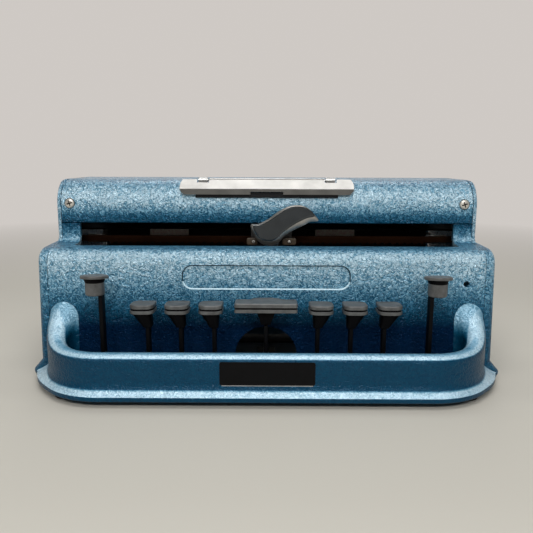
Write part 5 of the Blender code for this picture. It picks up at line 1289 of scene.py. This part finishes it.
def make_screw(kind, mark, centre, facing, body, cross_turn=CROSS_TURN):
    """Domed cross-slot screw, its seat ring and its slot floors painted black as shade."""
    name = f"{kind}_screw_{mark}"
    radius, height = SCREW_SIZES[kind]
    seat = radius + SEAT_GAP
    dome = [(SEAT_GAP, seat), (-SEAT_GAP / 2, seat), (-SEAT_GAP / 2, radius)]
    for angle in turns(math.pi / 2, SMALL_ARC_STEPS)[1:-1]:
        dome.append((-height * math.sin(angle), radius * math.cos(angle) ** SCREW_DOME_POWER))
    dome.append((-height, 0))
    screw = turned(name, dome, "Y", (0, 0), "nickel", ROUND_STEPS)
    full_radius, full_height = SCREW_SIZES["hood"]
    half = SCREW_SLOT_WIDTH / 2 * radius / full_radius
    depth = SCREW_SLOT_DEPTH * height / full_height
    reach = radius * SCREW_ARM_SHARE
    for i, angle in enumerate((cross_turn, cross_turn + math.pi / 2)):
        arm = [(u * math.cos(angle) - v * math.sin(angle), u * math.sin(angle) + v * math.cos(angle))
               for u, v in rectangle(-reach, -half, reach, half)]
        combine(screw, prism(f"{name}_slot_{i}", arm, "Y", -height - SEAT_GAP, -height + depth))
    settle(screw)
    # Seat ring and slot floors painted black as shade
    recolor(screw, "blackened", lambda face: math.hypot(face.center.x, face.center.z) > radius
            or math.hypot(face.center.x, face.center.z) < reach and face.center.y > -height + depth / 2)
    screw.data.transform(Matrix.Translation(centre) @ Matrix.Rotation(FACINGS[facing], 4, "Z"))
    dress(screw, body, "steel")


def make_cover_screws():
    """Screws of the hood, the rear cover and the side panels."""
    for hand, side in HANDS:
        make_screw("hood", hand, (side * HOOD_SCREW_X, HOOD_FACE_Y, HOOD_SCREW_Z), "front", "machine")
        for i, z in enumerate(REAR_SCREW_HEIGHTS):
            make_screw("rear", f"{hand}_{i}", (side * REAR_SCREW_X, REAR_COVER_Y, z), "rear", "machine",
                       i + REAR_CROSS_TURN)
        for i, (y, z) in enumerate(SIDE_SCREW_PLACES):
            make_screw("side", f"{hand}_{i}", (side * LOWER_OUTER_X, y, z), hand, "machine",
                       i + SIDE_CROSS_TURN)


# Paper feed

def make_knob(hand, side):
    """Fluted feed knob with rounded rims, a dished end and its screw."""
    inner, outer = reaches(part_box(f"feed_knob_{hand}"))
    profile = [(inner, KNOB_INNER_EDGE, KNOB_INNER_FLUTE_SHARE), (inner + KNOB_INNER_EDGE, 0.0, 1.0),
               (outer - KNOB_EDGE, 0.0, 1.0)]
    for i in range(1, SMALL_ARC_STEPS + 1):
        angle = math.pi / 2 * i / SMALL_ARC_STEPS
        profile.append((outer - KNOB_EDGE * (1 - math.sin(angle)), KNOB_EDGE * (1 - math.cos(angle)),
                        1 - i / SMALL_ARC_STEPS))
    profile += [(outer - depth, inset, 0.0) for inset, depth in KNOB_END_DISH]
    rings = []
    for x, inset, fluted in profile:
        ring = []
        for angle in turns(2 * math.pi, KNOB_STEPS)[:-1]:
            flute = max(math.cos(KNOB_FLUTES * angle), 0) ** KNOB_FLUTE_POWER
            radius = KNOB_RADIUS - inset - KNOB_FLUTE_DEPTH * flute * fluted
            ring.append((side * x, ROLLER_Y + radius * math.cos(angle), ROLLER_Z + radius * math.sin(angle)))
        rings.append(ring)
    knob = loft(f"knob_{hand}", rings, "knob")
    dress(knob, "paper_feed", "knob", f"feed_knob_{hand}")
    make_screw("knob", hand, (side * (outer - KNOB_SCREW_DEPTH), *ROLLER_CENTRE), hand, "paper_feed")


def make_roller():
    """Rubber feed roller with rounded ends on its steel shaft."""
    low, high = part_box("feed_roller")
    radius = (high.z - low.z) / 2
    half = COVER_HALF_WIDTH - ROLLER_END_INSET
    profile = (
        (low.x, FEED_SHAFT_RADIUS), (-half, FEED_SHAFT_RADIUS), (-half, radius),
        (half, radius), (half, FEED_SHAFT_RADIUS), (high.x, FEED_SHAFT_RADIUS),
    )
    roller = turned("roller", profile, "X", ROLLER_CENTRE, "rubber", DRUM_STEPS)
    bevel(roller, ROLLER_EDGE)
    settle(roller)
    recolor(roller, "steel", lambda face: abs(face.center.x) > half + ROLLER_EDGE)
    dress(roller, "paper_feed", "rubber", "feed_roller")


def make_release(hand, side):
    """Release lever with rounded edges, its pressure arm and its screw."""
    node = f"release_lever_{hand}"
    inner, outer = reaches(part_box(node))
    shaft = rod(f"release_{hand}", "X", RELEASE_CENTRE, RELEASE_SHAFT_RADIUS, side * inner, side * outer,
                "steel")
    outline = arc(RELEASE_CENTRE, RELEASE_LEVER_ROOT, math.pi, 2 * math.pi, FINE_STEPS)
    outline += arc((RELEASE_Y, RELEASE_Z + RELEASE_LEVER_LENGTH), RELEASE_LEVER_TIP, 0, math.pi, FINE_STEPS)
    plate = prism(node + "_plate", outline, "X", side * (outer - RELEASE_LEVER_THICKNESS), side * outer,
                  "steel")
    bevel(plate, RELEASE_EDGE)
    roller_low, roller_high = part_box("feed_roller")
    reach = (roller_high.z - roller_low.z) / 2 + RELEASE_PAD_GAP + RELEASE_ARM_WIDTH / 2
    pad = Vector(arc(ROLLER_CENTRE, reach, RELEASE_PAD_ANGLE, RELEASE_PAD_ANGLE, 1)[0])
    hub = Vector(RELEASE_CENTRE)
    along = (pad - hub).normalized()
    across = Vector((along.y, -along.x)) * RELEASE_ARM_WIDTH / 2
    arm_outline = [tuple(hub - across), tuple(hub + across), tuple(pad + across), tuple(pad - across)]
    arm = prism(node + "_arm", arm_outline, "X", side * inner, side * (inner + RELEASE_ARM_THICKNESS),
                "steel")
    bevel(arm, THIN_EDGE)
    dress(join(shaft, plate, arm), node, "steel", node)
    make_screw("release", hand, (side * outer, *RELEASE_CENTRE), hand, node)


def make_feed():
    """Feed roller, knobs, release levers and the tabs at the paper deck's front edge, made pale as painted
    light inside the slot.
    """
    make_roller()
    for hand, side in HANDS:
        make_knob(hand, side)
        make_release(hand, side)
    deck_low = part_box("paper_deck")[0]
    # The tabs' pale finish is painted light inside the slot
    for i, (left, right) in enumerate(CLIP_SPANS):
        clip = block(f"deck_tab_{i}", (left, deck_low.y - CLIP_LEAD, CLIP_LOW_Z),
                     (right, deck_low.y - CLIP_LEAD + CLIP_THICKNESS, deck_low.z + CLIP_THICKNESS), "clip")
        bevel(clip, CLIP_THICKNESS * SHEET_EDGE_SHARE, FEW_SEGMENTS)
        dress(clip, "machine", "steel")


# Reading rest

def make_reading_rest():
    """Hinged rest with rounded ends and edges, a black strip under its lip as painted shadow, its brackets
    and its pin.
    """
    pin = (HOOD_FACE_Y + REST_PIN_SETBACK, HOOD_TOP_Z - REST_PIN_DROP)
    root = (pin[0] - REST_ROOT_RUN, pin[1] + REST_ROOT_RISE)
    turn = (root[0] - REST_PLATE_RUN, root[1] - REST_PLATE_DROP)
    lip = (turn[0] - REST_LIP_RUN, turn[1] - REST_LIP_DROP)
    path = rounded([(*lip, 0), (*turn, REST_BEND_RADIUS), (*root, 0)], False, SMALL_ARC_STEPS)
    rough_end = REST_HALF_LENGTH + CUT_OVERRUN
    rest = prism("rest_plate", strip(path, REST_THICKNESS), "X", -rough_end, rough_end, "satin")
    front = lip[0] - CUT_OVERRUN
    rear = pin[0] + REST_KNUCKLE_RADIUS + CUT_OVERRUN
    ends = rectangle(-REST_HALF_LENGTH, lip[1] + SEAT_GAP, REST_HALF_LENGTH, root[1] + REST_THICKNESS,
                     REST_END_RADIUS, ARC_STEPS)
    combine(rest, prism("rest_ends", ends, "Y", front, rear), "INTERSECT")
    half = BRACKET_WIDTH / 2 + BRACKET_SLOT_GAP
    for hand, side in HANDS:
        x = side * BRACKET_X
        combine(rest, block(f"rest_gap_{hand}", (x - half, pin[0] - BRACKET_SLOT_DEPTH, lip[1]),
                            (x + half, rear, root[1] + CUT_OVERRUN)))
    notch = REST_NOTCH_WIDTH / 2
    combine(rest, block("rest_notch", (-notch, front, lip[1] - CUT_OVERRUN),
                        (notch, turn[0] + REST_THICKNESS, lip[1] + REST_NOTCH_HEIGHT)))
    bevel(rest, REST_EDGE, FEW_SEGMENTS)
    knuckle_end = BRACKET_X - half
    knuckle = rod("rest_knuckle", "X", pin, REST_KNUCKLE_RADIUS, -knuckle_end, knuckle_end, "satin")
    bevel(knuckle, REST_EDGE, FEW_SEGMENTS)
    join(rest, knuckle)
    settle(rest)
    # The lip is painted dark as shade
    recolor(rest, "tarnished", lambda face: face.normal.y < 0 and face.normal.z < LIP_SLOPE)
    dress(rest, "reading_rest", "steel", "reading_rest")
    # A black strip under the lip stands in for the shadow in the gap between the lip and the hood: painted
    # shadow
    fall = (Vector(lip) - Vector(turn)).normalized()
    shadow_low = Vector(lip) + fall * REST_SHADOW_REACH
    shadow_high = shadow_low - fall * REST_SHADOW_HEIGHT
    shadow_path = offset([tuple(shadow_low), tuple(shadow_high)], REST_THICKNESS)
    pad = prism("rest_shadow_strip", strip(shadow_path, REST_SHADOW_THICKNESS), "X",
                -REST_SHADOW_HALF_LENGTH, REST_SHADOW_HALF_LENGTH, "blackened")
    bevel(pad, REST_EDGE, FEW_SEGMENTS)
    dress(pad, "reading_rest", "rubber")
    for hand, _ in HANDS:
        node = f"rest_bracket_{hand}"
        dress(refined(node, "steel", REST_EDGE), "machine", "steel", node)
    low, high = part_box("rest_hinge_pin")
    ends = REST_PIN_RADIUS / 2
    profile = ((low.x, ends), (low.x + ends, REST_PIN_RADIUS),
               (high.x - ends, REST_PIN_RADIUS), (high.x, ends))
    dress(turned("hinge_pin", profile, "X", pin, "steel"), "machine", "steel", "rest_hinge_pin")


# Margin stops, feet and the bare label place

def make_margin_stops():
    """Margin stops with rounded edges and ridged tabs."""
    for hand, _ in HANDS:
        node = f"margin_stop_{hand}"
        low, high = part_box(node)
        stop = refined(node, "knob", THIN_EDGE)
        for i in range(RIDGE_COUNT):
            x = middle((low, high))[0] + RIDGE_PITCH * (i - (RIDGE_COUNT - 1) / 2)
            combine(stop, block(f"{node}_groove_{i}", (x - RIDGE_GROOVE / 2, high.y - RIDGE_DEPTH, low.z),
                                (x + RIDGE_GROOVE / 2, high.y + CUT_OVERRUN, high.z)))
        dress(stop, node, "knob", node)


def make_feet():
    """Rubber feet with rounded rims and a dimple beneath."""
    for place_name in ("front_left", "front_right", "rear_left", "rear_right"):
        node = f"foot_{place_name}"
        low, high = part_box(node)
        radius = (high.x - low.x) / 2
        tread = radius - FOOT_TAPER
        top, mouth = (tread * share for share in DIMPLE_SHARES)
        profile = (
            (low.z + FOOT_DIMPLE, 0), (low.z + FOOT_DIMPLE, top), (low.z, mouth),
            (low.z, tread), (high.z, radius), (high.z, 0),
        )
        foot = turned(node + "_rubber", profile, "Z", middle((low, high)), "rubber")
        bevel(foot, THIN_EDGE, FEW_SEGMENTS)
        dress(foot, "machine", "rubber", node)


def make_label():
    """Bare black label place on the carrying bar, with a light line beneath it painted as a highlight."""
    plate = rectangle(LABEL_X - LABEL_HALF_WIDTH, LABEL_LOW_Z, LABEL_X + LABEL_HALF_WIDTH, LABEL_HIGH_Z,
                      LABEL_CORNER, SMALL_ARC_STEPS)
    label = prism("bare_label", plate, "Y", BAR_FACE_Y - LABEL_THICKNESS, BAR_FACE_Y, "label")
    bevel(label, LABEL_THICKNESS * SHEET_EDGE_SHARE, FEW_SEGMENTS)
    dress(label, "machine", "knob")
    # The light line under the plate is a painted highlight
    line = rectangle(LABEL_X - LABEL_HALF_WIDTH + LABEL_CORNER, LABEL_LOW_Z - LABEL_LINE,
                     LABEL_X + LABEL_HALF_WIDTH - LABEL_CORNER, LABEL_LOW_Z)
    edge = prism("label_line", line, "Y", BAR_FACE_Y - LABEL_THICKNESS / 2, BAR_FACE_Y, "label_edge")
    dress(edge, "machine", "knob")


# Nodes that keep their CAD shape

def paint_nodes():
    """Give every CAD node its finish."""
    for entry in frame["record"]["subparts"]:
        name = entry["node"]
        # Inner nodes take near black finishes as painted shade
        finish = INNER_FINISHES.get(name, entry["material_slot"])
        for slot in frame["nodes"][name].material_slots:
            slot.material = finishes[finish]


# Studio

def make_lamp(name, location, width, height, power):
    """Area lamp aimed at the object."""
    data = bpy.data.lights.new(name, "AREA")
    data.shape = "RECTANGLE"
    data.size = width
    data.size_y = height
    data.energy = power
    lamp = stand(name, data)
    lamp.location = location
    lamp.rotation_euler = (Vector(LAMP_TARGET) - Vector(location)).to_track_quat("-Z", "Y").to_euler()


def seen_rays(tree):
    """Value output that is 1 for the rays by which the background is seen or mirrored."""
    path = add(tree, "LightPath").outputs
    seen = combined(tree, "ADD", path["Is Camera Ray"], path["Is Glossy Ray"])
    return combined(tree, "ADD", seen, path["Is Transmission Ray"])


def blend(tree, output, factor, first, second):
    """Send the mix of two shaders to the tree's output."""
    mixed = add(tree, "MixShader", factor, first, second)
    wire(tree, tree.nodes[output], mixed.outputs["Shader"])


def make_world():
    """Soft light from all round, with a pale backdrop to the camera and, behind, in reflections."""
    world = bpy.data.worlds.new("studio")
    bpy.context.scene.world = world
    world.use_nodes = True
    tree = world.node_tree
    light = wire(tree, tree.nodes["Background"], AMBIENT_COLOR, AMBIENT_STRENGTH)
    rearward = add(tree, "SeparateXYZ", add(tree, "TexCoord").outputs["Generated"]).outputs["Y"]
    fade = spread(tree, rearward, ROOM_SHARE, 1.0, BACKDROP_EDGE, BACKDROP_FULL)
    strength = combined(tree, "MAXIMUM", fade, add(tree, "LightPath").outputs["Is Camera Ray"])
    backdrop = add(tree, "Background", BACKDROP_COLOR, strength)
    blend(tree, "World Output", seen_rays(tree), light.outputs["Background"], backdrop.outputs["Background"])


def make_floor():
    """Plain pale floor that turns into the backdrop far from the object."""
    half = FLOOR_SIZE / 2
    mesh = bpy.data.meshes.new("floor")
    corners = [(u, v, 0) for u, v in rectangle(-half, -half, half, half)]
    mesh.from_pydata(corners, [], [(0, 1, 2, 3)])
    material, tree, shader = new_material("pale_floor", FLOOR_COLOR, FLOOR_ROUGHNESS)
    reach = add(tree, "VectorMath", surface_place(tree))
    reach.operation = "LENGTH"
    distant = spread(tree, reach.outputs["Value"], 0.0, 1.0, FLOOR_NEAR, FLOOR_FAR)
    glow = add(tree, "Emission", BACKDROP_COLOR)
    share = combined(tree, "MULTIPLY", distant, seen_rays(tree))
    blend(tree, "Material Output", share, shader.outputs["BSDF"], glow.outputs["Emission"])
    mesh.materials.append(material)
    floor = stand("floor", mesh)


def make_camera():
    """Camera at the photograph's viewing angle."""
    data = bpy.data.cameras.new("camera")
    data.sensor_width = SENSOR_WIDTH
    data.lens = SENSOR_WIDTH * FOCAL_PIXELS / IMAGE_SIZE
    data.clip_start = CLIP_START
    camera = stand("camera", data)
    camera.matrix_world = (
        Matrix.Translation(CAMERA_PLACE)
        @ Matrix.Rotation(CAMERA_YAW, 4, "Z")
        @ Matrix.Rotation(math.pi / 2 + CAMERA_PITCH, 4, "X")
        @ Matrix.Rotation(CAMERA_ROLL, 4, "Z")
    )
    bpy.context.scene.camera = camera


def make_studio():
    """Camera, lamps, world and floor."""
    bpy.context.scene.view_settings.view_transform = "Standard"
    make_camera()
    make_world()
    make_floor()
    for lamp in LAMPS:
        make_lamp(*lamp)


make_studio()
paint_nodes()
make_front_shell()
make_hood_shell()
make_rear_shell()
for hand, side in HANDS:
    make_side_shell(hand, side)
make_bar_shell()
make_keys()
make_paddle()
make_carriage()
make_cover_screws()
make_feed()
make_reading_rest()
make_margin_stops()
make_feet()
make_label()
